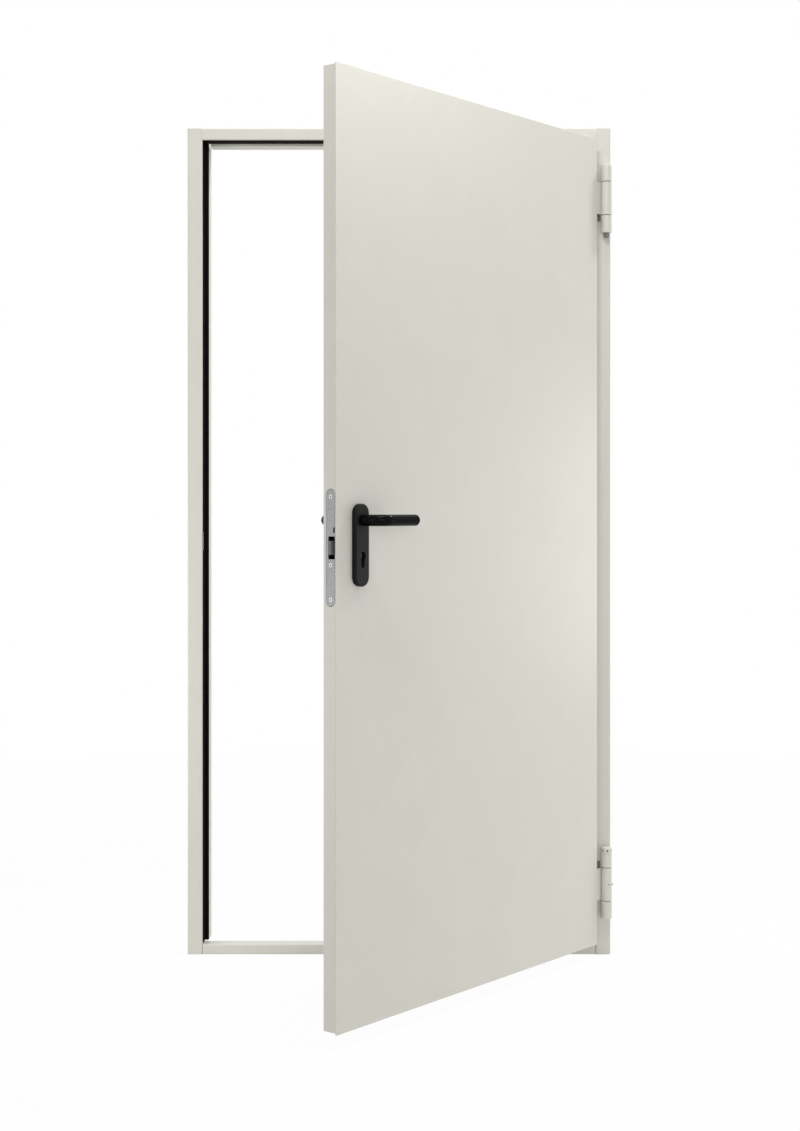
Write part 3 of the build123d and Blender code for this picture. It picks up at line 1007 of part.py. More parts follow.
with BuildPart() as back_lever:
    neck_y = PLATE_BACK + LEVER_GAP
    with BuildLine(Plane.XY.offset(HANDLE_Z)) as back_path:
        Line((SPINDLE_X, neck_y), (SPINDLE_X, LEVER_BACK_Y - LEVER_BEND))
        JernArc(back_path.line @ 1, (0, 1), LEVER_BEND, -90)
        Line(back_path.line @ 1, (SPINDLE_X + LEVER_REACH, LEVER_BACK_Y))
    with BuildSketch(Plane(origin=back_path.line @ 0, z_dir=back_path.line % 0)):
        Circle(LEVER_RADIUS)
    sweep(path=back_path.line)
    fillet(faces().sort_by(Axis.X)[-1].edges(), LEVER_END_ROUND)
    flat_y = LEVER_BACK_Y + LEVER_RADIUS - LEVER_FLAT_DEPTH
    slab((SPINDLE_X + LEVER_REACH - LEVER_FLAT_LENGTH, SPINDLE_X + LEVER_REACH + OVERRUN),
         (flat_y, flat_y + OVERRUN), (HANDLE_Z - LEVER_RADIUS, HANDLE_Z + LEVER_RADIUS), Mode.SUBTRACT)
    rod_y(SPINDLE_X, (neck_y - LEVER_STUB_LENGTH, neck_y + LEVER_GAP), HANDLE_Z, LEVER_STUB_RADIUS)
    stub_y = neck_y - LEVER_STUB_LENGTH
    slab(SOCKET_X, (stub_y - OVERRUN, stub_y + LEVER_SOCKET), SOCKET_Z, Mode.SUBTRACT)
    rod_z(SPINDLE_X, neck_y + GRUB_FROM_PLATE, (HANDLE_Z - LEVER_RADIUS - OVERRUN, HANDLE_Z),
          GRUB_RADIUS + GRUB_FIT, Mode.SUBTRACT)
    swing_open(back_lever)
back_lever.part.label = "back_lever"
export_step(back_lever.part, "parts/back_lever.step")

with BuildPart() as grub_screws:
    for depth in (PLATE_FRONT - LEVER_GAP - GRUB_FROM_PLATE, PLATE_BACK + LEVER_GAP + GRUB_FROM_PLATE):
        rod_z(SPINDLE_X, depth, (HANDLE_Z - GRUB_HEAD, HANDLE_Z - GRUB_TIP), GRUB_RADIUS)
    swing_open(grub_screws)
grub_screws.part.label = "grub_screws"
export_step(grub_screws.part, "parts/grub_screws.step")

with BuildPart() as spindle:
    half = SPINDLE_SIZE / 2
    reach = LEVER_SOCKET - LEVER_STUB_LENGTH - LEVER_GAP
    slab((SPINDLE_X - half, SPINDLE_X + half), (PLATE_FRONT - reach, PLATE_BACK + reach),
         (HANDLE_Z - half, HANDLE_Z + half))
    swing_open(spindle)
spindle.part.label = "spindle"
export_step(spindle.part, "parts/spindle.step")

with BuildPart() as follower:
    rod_y(SPINDLE_X, (CASE_Y[0] - CASE_WALL, CASE_Y[1]), HANDLE_Z, FOLLOWER_RADIUS)
    slab((SPINDLE_X - FOLLOWER_ARM_HALF, SPINDLE_X + FOLLOWER_ARM_HALF), TAIL_Y,
         (HANDLE_Z, HANDLE_Z + FOLLOWER_ARM_LENGTH))
    slab(SOCKET_X, (LEAF_FRONT, LEAF_BACK), SOCKET_Z, Mode.SUBTRACT)
    swing_open(follower)
follower.part.label = "follower"
export_step(follower.part, "parts/follower.step")
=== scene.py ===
"""Steel fire door in its folded frame: finishes, fine pieces, light and camera.

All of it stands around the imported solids. Lengths are metres in the part's own frame: X runs right,
Y runs back and Z runs up from the floor.
"""

from __future__ import annotations

import json
import logging
import math
from dataclasses import dataclass, replace
from enum import Enum
from typing import Callable, Sequence

import bmesh
import bpy
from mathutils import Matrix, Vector

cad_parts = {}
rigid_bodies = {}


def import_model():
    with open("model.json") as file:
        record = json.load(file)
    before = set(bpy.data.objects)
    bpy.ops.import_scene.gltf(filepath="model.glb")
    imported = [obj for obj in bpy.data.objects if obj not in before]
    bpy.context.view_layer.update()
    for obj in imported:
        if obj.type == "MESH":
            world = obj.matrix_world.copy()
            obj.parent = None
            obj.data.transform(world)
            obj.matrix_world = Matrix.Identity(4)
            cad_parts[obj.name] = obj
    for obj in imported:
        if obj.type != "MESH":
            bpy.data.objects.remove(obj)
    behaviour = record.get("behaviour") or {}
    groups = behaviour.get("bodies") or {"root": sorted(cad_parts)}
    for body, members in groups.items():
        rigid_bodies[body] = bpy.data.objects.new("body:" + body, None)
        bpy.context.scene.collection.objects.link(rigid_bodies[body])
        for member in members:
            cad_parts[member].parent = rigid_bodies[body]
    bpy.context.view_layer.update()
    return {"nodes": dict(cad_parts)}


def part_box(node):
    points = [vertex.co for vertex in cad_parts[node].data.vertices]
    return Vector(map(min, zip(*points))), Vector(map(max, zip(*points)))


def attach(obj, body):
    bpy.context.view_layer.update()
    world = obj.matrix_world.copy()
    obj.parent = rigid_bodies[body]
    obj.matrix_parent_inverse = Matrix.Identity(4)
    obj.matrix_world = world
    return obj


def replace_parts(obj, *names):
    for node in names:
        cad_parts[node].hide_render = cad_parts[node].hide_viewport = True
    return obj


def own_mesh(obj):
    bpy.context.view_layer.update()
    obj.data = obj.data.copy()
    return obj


LOG = logging.getLogger("fire_door")
Colour = tuple[float, float, float]
Point = tuple[float, float, float]
Span = tuple[float, float]
Piece = bpy.types.Object
Socket = bpy.types.NodeSocket
Tree = bpy.types.NodeTree
MM = 0.001
WHITE = (1.0, 1.0, 1.0, 1.0)

# The hinge line as X and Y.
HINGE_LINE = (501.5 * MM, -34.5 * MM)

# Middle and radius of the painted shade in the inner ends of the spring collar's key holes.
KEY_HOLE_MIDDLE = (*HINGE_LINE, 255.3 * MM)
KEY_HOLE_CORE = 11.8 * MM

# Outer face of the lock faceplate: the way it looks, and its distance from the origin that way.
LOCK_EDGE_WAY = (-0.615661, -0.788011, 0.0)
LOCK_EDGE = 0.688932

# How far behind that face painted shade begins: on its rim, and in the drives of its screws.
RIM_SHADE_DEPTH = 0.12 * MM
DRIVE_SHADE_DEPTH = 0.4 * MM


class Body(Enum):
    """Moving groups of the door that the fine pieces ride on."""

    FRAME = "frame"
    LEAF = "leaf"


class Slot(Enum):
    """Finishes named in the part's record."""

    DOOR_PAINT = "door_paint"
    SEAL_RUBBER = "seal_rubber"
    FIRE_STRIP = "fire_strip"
    ZINC_STEEL = "zinc_steel"
    BRIGHT_STEEL = "bright_steel"
    DARK_STEEL = "dark_steel"


class Kind(Enum):
    """Kinds of input and output on a node group."""

    VALUE = "NodeSocketFloat"
    VECTOR = "NodeSocketVector"
    COLOUR = "NodeSocketColor"


class Reach(Enum):
    """How the painted shade of a finish is marked off."""

    SUNK = "sunk"
    CORE = "core"


class Pick(Enum):
    """What a selection in edit mode takes."""

    FACES = "FACE"
    EDGES = "EDGE"
    VERTICES = "VERT"


# Shader effects


class NodeSheet:
    """Places and links the nodes of one shader tree."""

    def __init__(self, tree: Tree) -> None:
        """Start on an empty tree.

        Args:
            tree: The tree that takes the nodes.
        """
        self.tree = tree
        self.tree.nodes.clear()

    def link(self, source: Socket, target: Socket) -> None:
        """Join an output to an input."""
        self.tree.links.new(source, target)

    def add(self, kind: str, inputs: dict[str | int, object] | None = None,
            **settings: object) -> bpy.types.Node:
        """Place one node.

        Args:
            kind: Blender's name of the node type.
            inputs: Socket or plain value for each input, by its name or number.
            **settings: Attributes to set on the node, before its inputs.

        Returns:
            The new node.
        """
        node = self.tree.nodes.new(kind)
        for name, value in settings.items():
            setattr(node, name, value)
        for name, value in (inputs or {}).items():
            if isinstance(value, Socket):
                self.link(value, node.inputs[name])
            else:
                node.inputs[name].default_value = value
        return node

    def maths(self, operation: str, first: object, second: object) -> Socket:
        """Place a calculation with two values, each a socket or a number."""
        return self.add("ShaderNodeMath", {0: first, 1: second}, operation=operation).outputs[0]

    def vector(self, operation: str, *values: object) -> bpy.types.Node:
        """Place a calculation with vectors, each a socket or three numbers."""
        return self.add("ShaderNodeVectorMath", dict(enumerate(values)), operation=operation)

    def between(self, value: Socket, low: object, high: object) -> Socket:
        """Stretch a value from 0..1 to the range between two sockets or numbers."""
        inputs = {"Value": value, "To Min": low, "To Max": high}
        return self.add("ShaderNodeMapRange", inputs).outputs["Result"]

    def noise(self, place: Socket, scale: object, detail: float) -> Socket:
        """Place a soft noise by its waves to a metre and its number of finer layers."""
        inputs = {"Vector": place, "Scale": scale, "Detail": detail}
        return self.add("ShaderNodeTexNoise", inputs).outputs["Fac"]

    def mix(self, mask: Socket, first: object, second: object) -> Socket:
        """Blend from the first colour to the second as a mask goes from 0 to 1."""
        inputs = {"Factor": mask, "A": first, "B": second}
        return self.add("ShaderNodeMix", inputs, data_type="RGBA").outputs["Result"]

    def effect(self, group: Tree, **values: object) -> bpy.types.Node:
        """Place a node group and give its inputs sockets or plain values."""
        return self.add("ShaderNodeGroup", values, node_tree=group)


class EffectShelf:
    """Node groups that the finishes share, each built once."""

    TONE_SCALE = 3.0
    TONE_DETAIL = 4.0
    GRAIN_DETAIL = 3.0
    SPECK_DETAIL = 2.0
    SPECKS_TO_A_PATCH = 2.6
    HALF = 0.5
    CORE_FLATTENING = (1.0, 1.0, 3.0)

    def __init__(self) -> None:
        """Build every group."""
        self.tone = self._tone()
        self.grain = self._grain()
        self.mottle = self._mottle()
        # Masks that mark where shade is painted into recesses.
        self.masks = {Reach.SUNK: self._sunk(), Reach.CORE: self._core()}

    @staticmethod
    def _frame(
        name: str, inputs: dict[str, Kind], outputs: dict[str, Kind],
    ) -> tuple[Tree, NodeSheet, bpy.types.NodeOutputs, bpy.types.NodeInputs]:
        """Start a group with its sockets.

        Args:
            name: Name of the group.
            inputs: Name and kind of each input.
            outputs: Name and kind of each output.

        Returns:
            The group, its sheet, what it is given, and what it makes.
        """
        tree = bpy.data.node_groups.new(name, "ShaderNodeTree")
        for way, sockets in (("INPUT", inputs), ("OUTPUT", outputs)):
            for label, kind in sockets.items():
                tree.interface.new_socket(label, in_out=way, socket_type=kind.value)
        sheet = NodeSheet(tree)
        given, made = sheet.add("NodeGroupInput"), sheet.add("NodeGroupOutput")
        return tree, sheet, given.outputs, made.inputs

    def _tone(self) -> Tree:
        """Slow change of lightness over a coat, as from spraying and handling.

        Returns:
            The group, which turns a colour into a slightly uneven one.
        """
        tree, sheet, given, made = self._frame(
            "Coat tone",
            {"Place": Kind.VECTOR, "Colour": Kind.COLOUR, "Spread": Kind.VALUE},
            {"Colour": Kind.COLOUR},
        )
        cloud = sheet.noise(given["Place"], self.TONE_SCALE, self.TONE_DETAIL)
        dark = sheet.maths("SUBTRACT", 1.0, given["Spread"])
        light = sheet.maths("ADD", 1.0, given["Spread"])
        shade = sheet.vector("SCALE", given["Colour"])
        sheet.link(sheet.between(cloud, dark, light), shade.inputs["Scale"])
        sheet.link(shade.outputs[0], made["Colour"])
        return tree

    def _grain(self) -> Tree:
        """Fine relief that can be stretched: orange peel, moulded grain or brush lines.

        Returns:
            The group, which gives a relief height and a roughness.
        """
        tree, sheet, given, made = self._frame(
            "Fine grain",
            {"Place": Kind.VECTOR, "Stretch": Kind.VECTOR, "Scale": Kind.VALUE,
             "Low": Kind.VALUE, "High": Kind.VALUE},
            {"Height": Kind.VALUE, "Roughness": Kind.VALUE},
        )
        pull = sheet.vector("MULTIPLY", given["Place"], given["Stretch"])
        fine = sheet.noise(pull.outputs[0], given["Scale"], self.GRAIN_DETAIL)
        sheet.link(fine, made["Height"])
        sheet.link(sheet.between(fine, given["Low"], given["High"]), made["Roughness"])
        return tree

    def _mottle(self) -> Tree:
        """Patches of light and dark, as zinc crystals or dust on rubber.

        Returns:
            The group, which mixes two colours patch by patch.
        """
        tree, sheet, given, made = self._frame(
            "Patches",
            {"Place": Kind.VECTOR, "Dark": Kind.COLOUR, "Light": Kind.COLOUR,
             "Scale": Kind.VALUE},
            {"Colour": Kind.COLOUR},
        )
        cells = sheet.add("ShaderNodeTexVoronoi",
                          {"Vector": given["Place"], "Scale": given["Scale"]})
        split = sheet.add("ShaderNodeSeparateColor", {0: cells.outputs["Color"]})
        finer = sheet.maths("MULTIPLY", given["Scale"], self.SPECKS_TO_A_PATCH)
        speck = sheet.noise(given["Place"], finer, self.SPECK_DETAIL)
        blend = sheet.maths("ADD", sheet.maths("MULTIPLY", split.outputs[0], self.HALF),
                            sheet.maths("MULTIPLY", speck, self.HALF))
        sheet.link(sheet.mix(blend, given["Dark"], given["Light"]), made["Colour"])
        return tree

    def _sunk(self) -> Tree:
        """Mark what lies behind a plane, where shade is painted, such as the floor of a screw's
        drive.

        Returns:
            The group, whose mask is 1 behind the plane.
        """
        tree, sheet, given, made = self._frame(
            "Sunk faces",
            {"Place": Kind.VECTOR, "At": Kind.VECTOR, "Limit": Kind.VALUE},
            {"Mask": Kind.VALUE},
        )
        height = sheet.vector("DOT_PRODUCT", given["Place"], given["At"])
        sheet.link(sheet.maths("LESS_THAN", height.outputs["Value"], given["Limit"]), made["Mask"])
        return tree

    def _core(self) -> Tree:
        """Mark what lies inside a flattened ball, where shade is painted, such as the inner ends of
        key holes.

        Returns:
            The group, whose mask is 1 inside the ball.
        """
        tree, sheet, given, made = self._frame(
            "Inner core",
            {"Place": Kind.VECTOR, "At": Kind.VECTOR, "Limit": Kind.VALUE},
            {"Mask": Kind.VALUE},
        )
        away = sheet.vector("SUBTRACT", given["Place"], given["At"])
        flat = sheet.vector("MULTIPLY", away.outputs[0], self.CORE_FLATTENING)
        size = sheet.vector("LENGTH", flat.outputs[0])
        sheet.link(sheet.maths("LESS_THAN", size.outputs["Value"], given["Limit"]), made["Mask"])
        return tree


# Finishes


@dataclass(frozen=True)
class Hollow:
    """Part of a piece where shade is painted as a dark colour.

    Attributes:
        reach: How the part is marked off.
        at: Direction of the plane, or middle of the core.
        limit: Height of the plane, or radius of the core.
        colour: Colour of the painted shade.
    """

    reach: Reach
    at: Point
    limit: float
    colour: Colour = (0.012, 0.012, 0.012)


@dataclass(frozen=True)
class Finish:
    """One surface finish as plain values.

    Attributes:
        name: Name of the material.
        dark: Colour of the darker patches.
        light: Colour of the lighter patches.
        patch_scale: How many patches go to a metre.
        spread: How far the lightness drifts over the piece.
        roughness: Lowest and highest roughness of the grain.
        grain_scale: How many grains go to a metre.
        relief: Height of the grain in metres.
        metallic: 1 for bare metal, 0 for what isn't metal, and between for dull plating.
        specular: Strength of the plain reflection.
        stretch: Pull of the grain along each axis.
        hollow: Painted shade on the piece, if it has one.
    """

    name: str
    dark: Colour
    light: Colour
    patch_scale: float
    spread: float
    roughness: Span
    grain_scale: float
    relief: float
    metallic: float = 0.0
    specular: float = 0.5
    stretch: Point = (1.0, 1.0, 1.0)
    hollow: Hollow | None = None

    def _paint_shade(self, sheet: NodeSheet, shelf: EffectShelf, place: Socket,
                colour: Socket) -> Socket:
        """Lay the painted shade's colour over the finish.

        Args:
            sheet: The material's tree.
            shelf: The node groups to place.
            place: Socket of the point on the piece.
            colour: Socket of the finish's colour.

        Returns:
            The socket of the colour with the painted shade in it.
        """
        mask = sheet.effect(shelf.masks[self.hollow.reach], Place=place, At=self.hollow.at,
                            Limit=self.hollow.limit)
        return sheet.mix(mask.outputs["Mask"], colour, (*self.hollow.colour, 1.0))

    def build(self, shelf: EffectShelf) -> bpy.types.Material:
        """Make the material from the shared effects.

        Args:
            shelf: The node groups to place.

        Returns:
            The finished material.
        """
        material = bpy.data.materials.new(self.name)
        material.use_nodes = True
        sheet = NodeSheet(material.node_tree)
        place = sheet.add("ShaderNodeTexCoord").outputs["Object"]
        patches = sheet.effect(shelf.mottle, Place=place, Dark=(*self.dark, 1.0),
                               Light=(*self.light, 1.0), Scale=self.patch_scale)
        tone = sheet.effect(shelf.tone, Place=place, Colour=patches.outputs["Colour"],
                            Spread=self.spread)
        low, high = self.roughness
        grain = sheet.effect(shelf.grain, Place=place, Stretch=self.stretch, Scale=self.grain_scale,
                             Low=low, High=high)
        relief = sheet.add("ShaderNodeBump", {"Strength": 1.0, "Distance": self.relief,
                                              "Height": grain.outputs["Height"]})
        colour = tone.outputs["Colour"]
        # Painted shade: a near-black colour laid over the recess that the mask marks.
        if self.hollow is not None:
            colour = self._paint_shade(sheet, shelf, place, colour)
        shader = sheet.add("ShaderNodeBsdfPrincipled", {
            "Base Color": colour, "Roughness": grain.outputs["Roughness"],
            "Normal": relief.outputs["Normal"], "Metallic": self.metallic,
            "Specular IOR Level": self.specular})
        sheet.add("ShaderNodeOutputMaterial", {"Surface": shader.outputs[0]})
        return material


DOOR_COAT = Finish(
    "Grey white powder coat", (0.640, 0.628, 0.566), (0.660, 0.648, 0.586),
    patch_scale=9.0, spread=0.012, roughness=(0.40, 0.50), grain_scale=900.0, relief=0.004 * MM)
# Door paint with painted shade: near-black colour in the inner ends of the key holes.
COLLAR_COAT = replace(
    DOOR_COAT, name="Coat with painted shade in key holes",
    hollow=Hollow(Reach.CORE, KEY_HOLE_MIDDLE, KEY_HOLE_CORE))
BULB_RUBBER = Finish(
    "Black seal rubber", (0.0025, 0.0025, 0.003), (0.006, 0.006, 0.0065),
    patch_scale=60.0, spread=0.10, roughness=(0.60, 0.80), grain_scale=500.0, relief=0.08 * MM,
    specular=0.05)
CHAR_STRIP = Finish(
    "Black fire strip", (0.002, 0.002, 0.002), (0.005, 0.0048, 0.0046),
    patch_scale=90.0, spread=0.12, roughness=(0.70, 0.90), grain_scale=350.0, relief=0.1 * MM,
    specular=0.04, stretch=(1.0, 1.0, 0.05))
HANDLE_BLACK = Finish(
    "Black moulded grip", (0.0022, 0.0022, 0.0025), (0.0040, 0.0040, 0.0044),
    patch_scale=40.0, spread=0.05, roughness=(0.08, 0.13), grain_scale=900.0, relief=0.002 * MM,
    specular=0.06)
PLATE_BLACK = Finish(
    "Black moulded plate", (0.007, 0.007, 0.0075), (0.012, 0.012, 0.0125),
    patch_scale=70.0, spread=0.05, roughness=(0.42, 0.55), grain_scale=1100.0, relief=0.04 * MM,
    specular=0.12)
STRIKE_BLACK = Finish(
    "Black moulded cup", (0.004, 0.004, 0.004), (0.009, 0.009, 0.009),
    patch_scale=70.0, spread=0.06, roughness=(0.55, 0.70), grain_scale=900.0, relief=0.04 * MM,
    specular=0.08)
# Grey-brown stone wool, made darker than its own colour as painted shade for the inside of the leaf.
WOOL = Finish(
    "Stone wool darkened with painted shade", (0.055, 0.050, 0.040), (0.13, 0.12, 0.098),
    patch_scale=160.0, spread=0.10, roughness=(0.9, 1.0), grain_scale=420.0, relief=0.6 * MM,
    stretch=(1.0, 1.0, 0.15))
GUARD_GREY = Finish(
    "Grey moulded guard", (0.26, 0.258, 0.24), (0.34, 0.338, 0.315),
    patch_scale=120.0, spread=0.06, roughness=(0.50, 0.65), grain_scale=900.0, relief=0.04 * MM,
    specular=0.2)
ZINC = Finish(
    "Dull zinc plate", (0.25, 0.255, 0.26), (0.43, 0.435, 0.44),
    patch_scale=420.0, spread=0.08, roughness=(0.45, 0.62), grain_scale=900.0, relief=0.03 * MM,
    metallic=0.35, specular=0.25)
# Zinc with painted shade: a dark band on the rim and hole edges behind the face.
FACE_ZINC = replace(
    ZINC, name="Zinc face with painted shade on its rim",
    hollow=Hollow(Reach.SUNK, LOCK_EDGE_WAY, LOCK_EDGE - RIM_SHADE_DEPTH, (0.05, 0.05, 0.05)))
# Zinc-plated case and base plates, coloured near black as painted shade where they sit inside the
# leaf and under the plates.
CASE_SHADED = Finish(
    "Case steel darkened as painted shade", (0.010, 0.010, 0.010), (0.022, 0.022, 0.022),
    patch_scale=260.0, spread=0.08, roughness=(0.50, 0.65), grain_scale=900.0, relief=0.03 * MM,
    metallic=0.2, specular=0.08)
SCREW_ZINC = Finish(
    "Bright zinc screw", (0.76, 0.765, 0.76), (0.90, 0.905, 0.90),
    patch_scale=300.0, spread=0.05, roughness=(0.30, 0.44), grain_scale=1200.0, relief=0.02 * MM,
    metallic=0.5)
# Bright zinc with painted shade: near black in the screw drives behind the face.
DRIVE_ZINC = replace(
    SCREW_ZINC, name="Screw zinc with painted shade in its drive",
    hollow=Hollow(Reach.SUNK, LOCK_EDGE_WAY, LOCK_EDGE - DRIVE_SHADE_DEPTH))
LATCH_STEEL = Finish(
    "Cast latch steel", (0.10, 0.102, 0.105), (0.17, 0.172, 0.175),
    patch_scale=260.0, spread=0.08, roughness=(0.42, 0.58), grain_scale=900.0, relief=0.03 * MM,
    metallic=0.5, specular=0.2, stretch=(1.0, 1.0, 0.2))
PIN_STEEL = Finish(
    "Turned steel", (0.52, 0.52, 0.53), (0.68, 0.68, 0.69),
    patch_scale=200.0, spread=0.05, roughness=(0.18, 0.32), grain_scale=1400.0, relief=0.02 * MM,
    metallic=1.0, stretch=(1.0, 1.0, 8.0))
SCREW_DARK = Finish(
    "Dull oiled steel", (0.13, 0.13, 0.128), (0.26, 0.26, 0.255),
    patch_scale=220.0, spread=0.10, roughness=(0.40, 0.58), grain_scale=900.0, relief=0.03 * MM,
    metallic=0.6, specular=0.2)
WASHER = Finish(
    "Grey bearing plastic", (0.25, 0.25, 0.24), (0.35, 0.35, 0.34),
    patch_scale=200.0, spread=0.06, roughness=(0.40, 0.55), grain_scale=1200.0, relief=0.02 * MM,
    specular=0.3)

NODE_FINISHES: dict[Finish, tuple[str, ...]] = {
    DOOR_COAT: ("hinge_jamb", "lock_jamb", "head_rail", "threshold_bar", "top_hinge_frame_knuckles",
                "bottom_hinge_frame_knuckles", "front_skin", "back_skin",
                "top_hinge_leaf_wing", "bottom_hinge_leaf_wing", "tension_pin"),
    COLLAR_COAT: ("spring_collar",),
    BULB_RUBBER: ("lock_jamb_gasket", "hinge_jamb_gasket"),
    CHAR_STRIP: ("lock_jamb_strip", "hinge_jamb_strip", "head_strip"),
    HANDLE_BLACK: ("front_lever", "back_lever"),
    PLATE_BLACK: ("front_plate", "back_plate"),
    STRIKE_BLACK: ("strike_box",),
    GUARD_GREY: ("hinge_pockets",),
    WOOL: ("core",),
    ZINC: ("corner_brackets", "lock_wall_anchors", "hinge_wall_anchors", "hinge_backing_plates",
           "plate_bolts", "follower"),
    FACE_ZINC: ("lock_faceplate",),
    CASE_SHADED: ("lock_case", "lock_cover", "front_base_plate", "back_base_plate"),
    SCREW_ZINC: ("wing_screws",),
    DRIVE_ZINC: ("faceplate_screws", "cylinder_screw"),
    LATCH_STEEL: ("latch_bolt",),
    PIN_STEEL: ("top_hinge_pin", "bottom_hinge_pin", "spindle", "closing_spring", "latch_spring"),
    SCREW_DARK: ("height_screw", "grub_screws"),
    WASHER: ("top_hinge_washers", "bottom_hinge_washers"),
}


class PaintShop:
    """Keeps one material for each finish and puts it on pieces."""

    def __init__(self) -> None:
        """Build the shared effects."""
        self.shelf = EffectShelf()
        self.made: dict[Finish, bpy.types.Material] = {}

    def material(self, finish: Finish) -> bpy.types.Material:
        """Return a finish's material, made on first use."""
        if finish not in self.made:
            self.made[finish] = finish.build(self.shelf)
        return self.made[finish]

    def coat(self, piece: Piece, finish: Finish) -> None:
        """Give a piece one finish all over."""
        piece.data.materials.clear()
        piece.data.materials.append(self.material(finish))

    def coat_nodes(self, nodes: dict[str, Piece]) -> None:
        """Give every solid of the part its finish.

        Args:
            nodes: The part's solids by name.
        """
        for finish, names in NODE_FINISHES.items():
            for name in names:
                self.coat(nodes[name], finish)
        LOG.info("coated %d solids", sum(map(len, NODE_FINISHES.values())))


# Modelling


class Bench:
    """Moves that the fine pieces are modelled with."""

    @staticmethod
    def clear() -> None:
        """Leave edit mode and deselect everything."""
        active = bpy.context.view_layer.objects.active
        if active is not None and active.mode != "OBJECT":
            bpy.ops.object.mode_set(mode="OBJECT")
        bpy.ops.object.select_all(action="DESELECT")

    @staticmethod
    def named(name: str) -> Piece:
        """Name the new object, put its place into its mesh and return it."""
        piece = bpy.context.active_object
        piece.name = name
        piece.data.name = name
        bpy.ops.object.transform_apply(location=True, rotation=True, scale=True)
        return piece

    @classmethod
    def block(cls, name: str, low: Vector, high: Vector) -> Piece:
        """Add a square block between two corners.

        Args:
            name: Name of the piece.
            low: Lowest corner.
            high: Highest corner.

        Returns:
            The block.
        """
        cls.clear()
        bpy.ops.mesh.primitive_cube_add(size=1.0, location=(low + high) / 2, scale=high - low)
        return cls.named(name)

    @classmethod
    def drum(cls, name: str, foot: Vector, radius: float, height: float, sides: int,
             turn: Point = (0.0, 0.0, 0.0)) -> Piece:
        """Add a round or many-sided drum on a foot point.

        Args:
            name: Name of the piece.
            foot: Middle of the drum's lower end before it is turned.
            radius: Radius of the drum.
            height: Length of the drum.
            sides: Number of sides.
            turn: Turn about each axis in radians, about the drum's middle.

        Returns:
            The drum.
        """
        cls.clear()
        middle = foot + Vector((0.0, 0.0, height / 2))
        bpy.ops.mesh.primitive_cylinder_add(vertices=sides, radius=radius, depth=height,
                                            location=middle, rotation=turn)
        return cls.named(name)

    @staticmethod
    def pick(piece: Piece, kind: Pick, test: Callable[[object], bool]) -> None:
        """Select in edit mode what passes a test, and nothing else.

        Args:
            piece: The piece to edit.
            kind: Faces, edges or vertices.
            test: Takes a mesh element and says whether it is meant.
        """
        bpy.context.view_layer.objects.active = piece
        if piece.mode != "EDIT":
            bpy.ops.object.mode_set(mode="EDIT")
        bpy.ops.mesh.select_mode(type=kind.value)
        bpy.ops.mesh.select_all(action="DESELECT")
        mesh = bmesh.from_edit_mesh(piece.data)
        group = {Pick.FACES: mesh.faces, Pick.EDGES: mesh.edges, Pick.VERTICES: mesh.verts}[kind]
        for item in [item for item in group if test(item)]:
            item.select_set(True)
        mesh.select_flush_mode()
        bmesh.update_edit_mesh(piece.data)

    @classmethod
    def split(cls, piece: Piece, depth: float) -> None:
        """Cut a line of edges round a piece at one depth along Y."""
        cls.pick(piece, Pick.FACES, lambda face: True)
        bpy.ops.mesh.bisect(plane_co=(0.0, depth, 0.0), plane_no=(0.0, 1.0, 0.0))

    @classmethod
    def carve(cls, piece: Piece, cutter: Piece) -> None:
        """Cut one piece's shape out of another and remove the cutter.

        Args:
            piece: The piece that stays.
            cutter: The piece that is taken away.
        """
        cls.clear()
        bpy.context.view_layer.objects.active = piece
        piece.select_set(True)
        cut = piece.modifiers.new("cut", "BOOLEAN")
        cut.operation = "DIFFERENCE"
        cut.solver = "EXACT"
        cut.object = cutter
        bpy.ops.object.modifier_apply(modifier=cut.name)
        bpy.data.objects.remove(cutter)

    @classmethod
    def copy(cls, piece: Piece, name: str, move: Vector) -> Piece:
        """Copy a piece with its own mesh to another place.

        Args:
            piece: The piece to copy.
            name: Name of the copy.
            move: How far the copy goes.

        Returns:
            The copy.
        """
        cls.clear()
        piece.select_set(True)
        bpy.context.view_layer.objects.active = piece
        bpy.ops.object.duplicate(linked=False)
        bpy.ops.transform.translate(value=move)
        return cls.named(name)

    @classmethod
    def join(cls, name: str, pieces: Sequence[Piece]) -> Piece:
        """Make several pieces one.

        Args:
            name: Name of the whole.
            pieces: The pieces to join.

        Returns:
            The whole.
        """
        cls.clear()
        for piece in pieces:
            piece.select_set(True)
        bpy.context.view_layer.objects.active = pieces[0]
        bpy.ops.object.join()
        return cls.named(name)

    @classmethod
    def smooth(cls, piece: Piece, degrees: float = 35.0) -> None:
        """Shade a piece smooth up to an angle between faces."""
        cls.clear()
        piece.select_set(True)
        bpy.context.view_layer.objects.active = piece
        bpy.ops.object.shade_smooth_by_angle(angle=math.radians(degrees))


class Nearly:
    """Tests of place and direction with a small tolerance."""

    TOLERANCE = 2e-6
    ALIGNED = 0.99

    @classmethod
    def same(cls, first: float, second: float) -> bool:
        """Say whether two lengths are the same."""
        return abs(first - second) < cls.TOLERANCE

    @classmethod
    def faces_way(cls, face: bmesh.types.BMFace, way: Point) -> bool:
        """Say whether a face looks along a direction."""
        return face.normal.dot(Vector(way)) > cls.ALIGNED

    @classmethod
    def runs_along_z(cls, edge: bmesh.types.BMEdge) -> bool:
        """Say whether an edge stands upright."""
        span = edge.verts[1].co - edge.verts[0].co
        return abs(span.z) > cls.ALIGNED * span.length


# Sub-assemblies


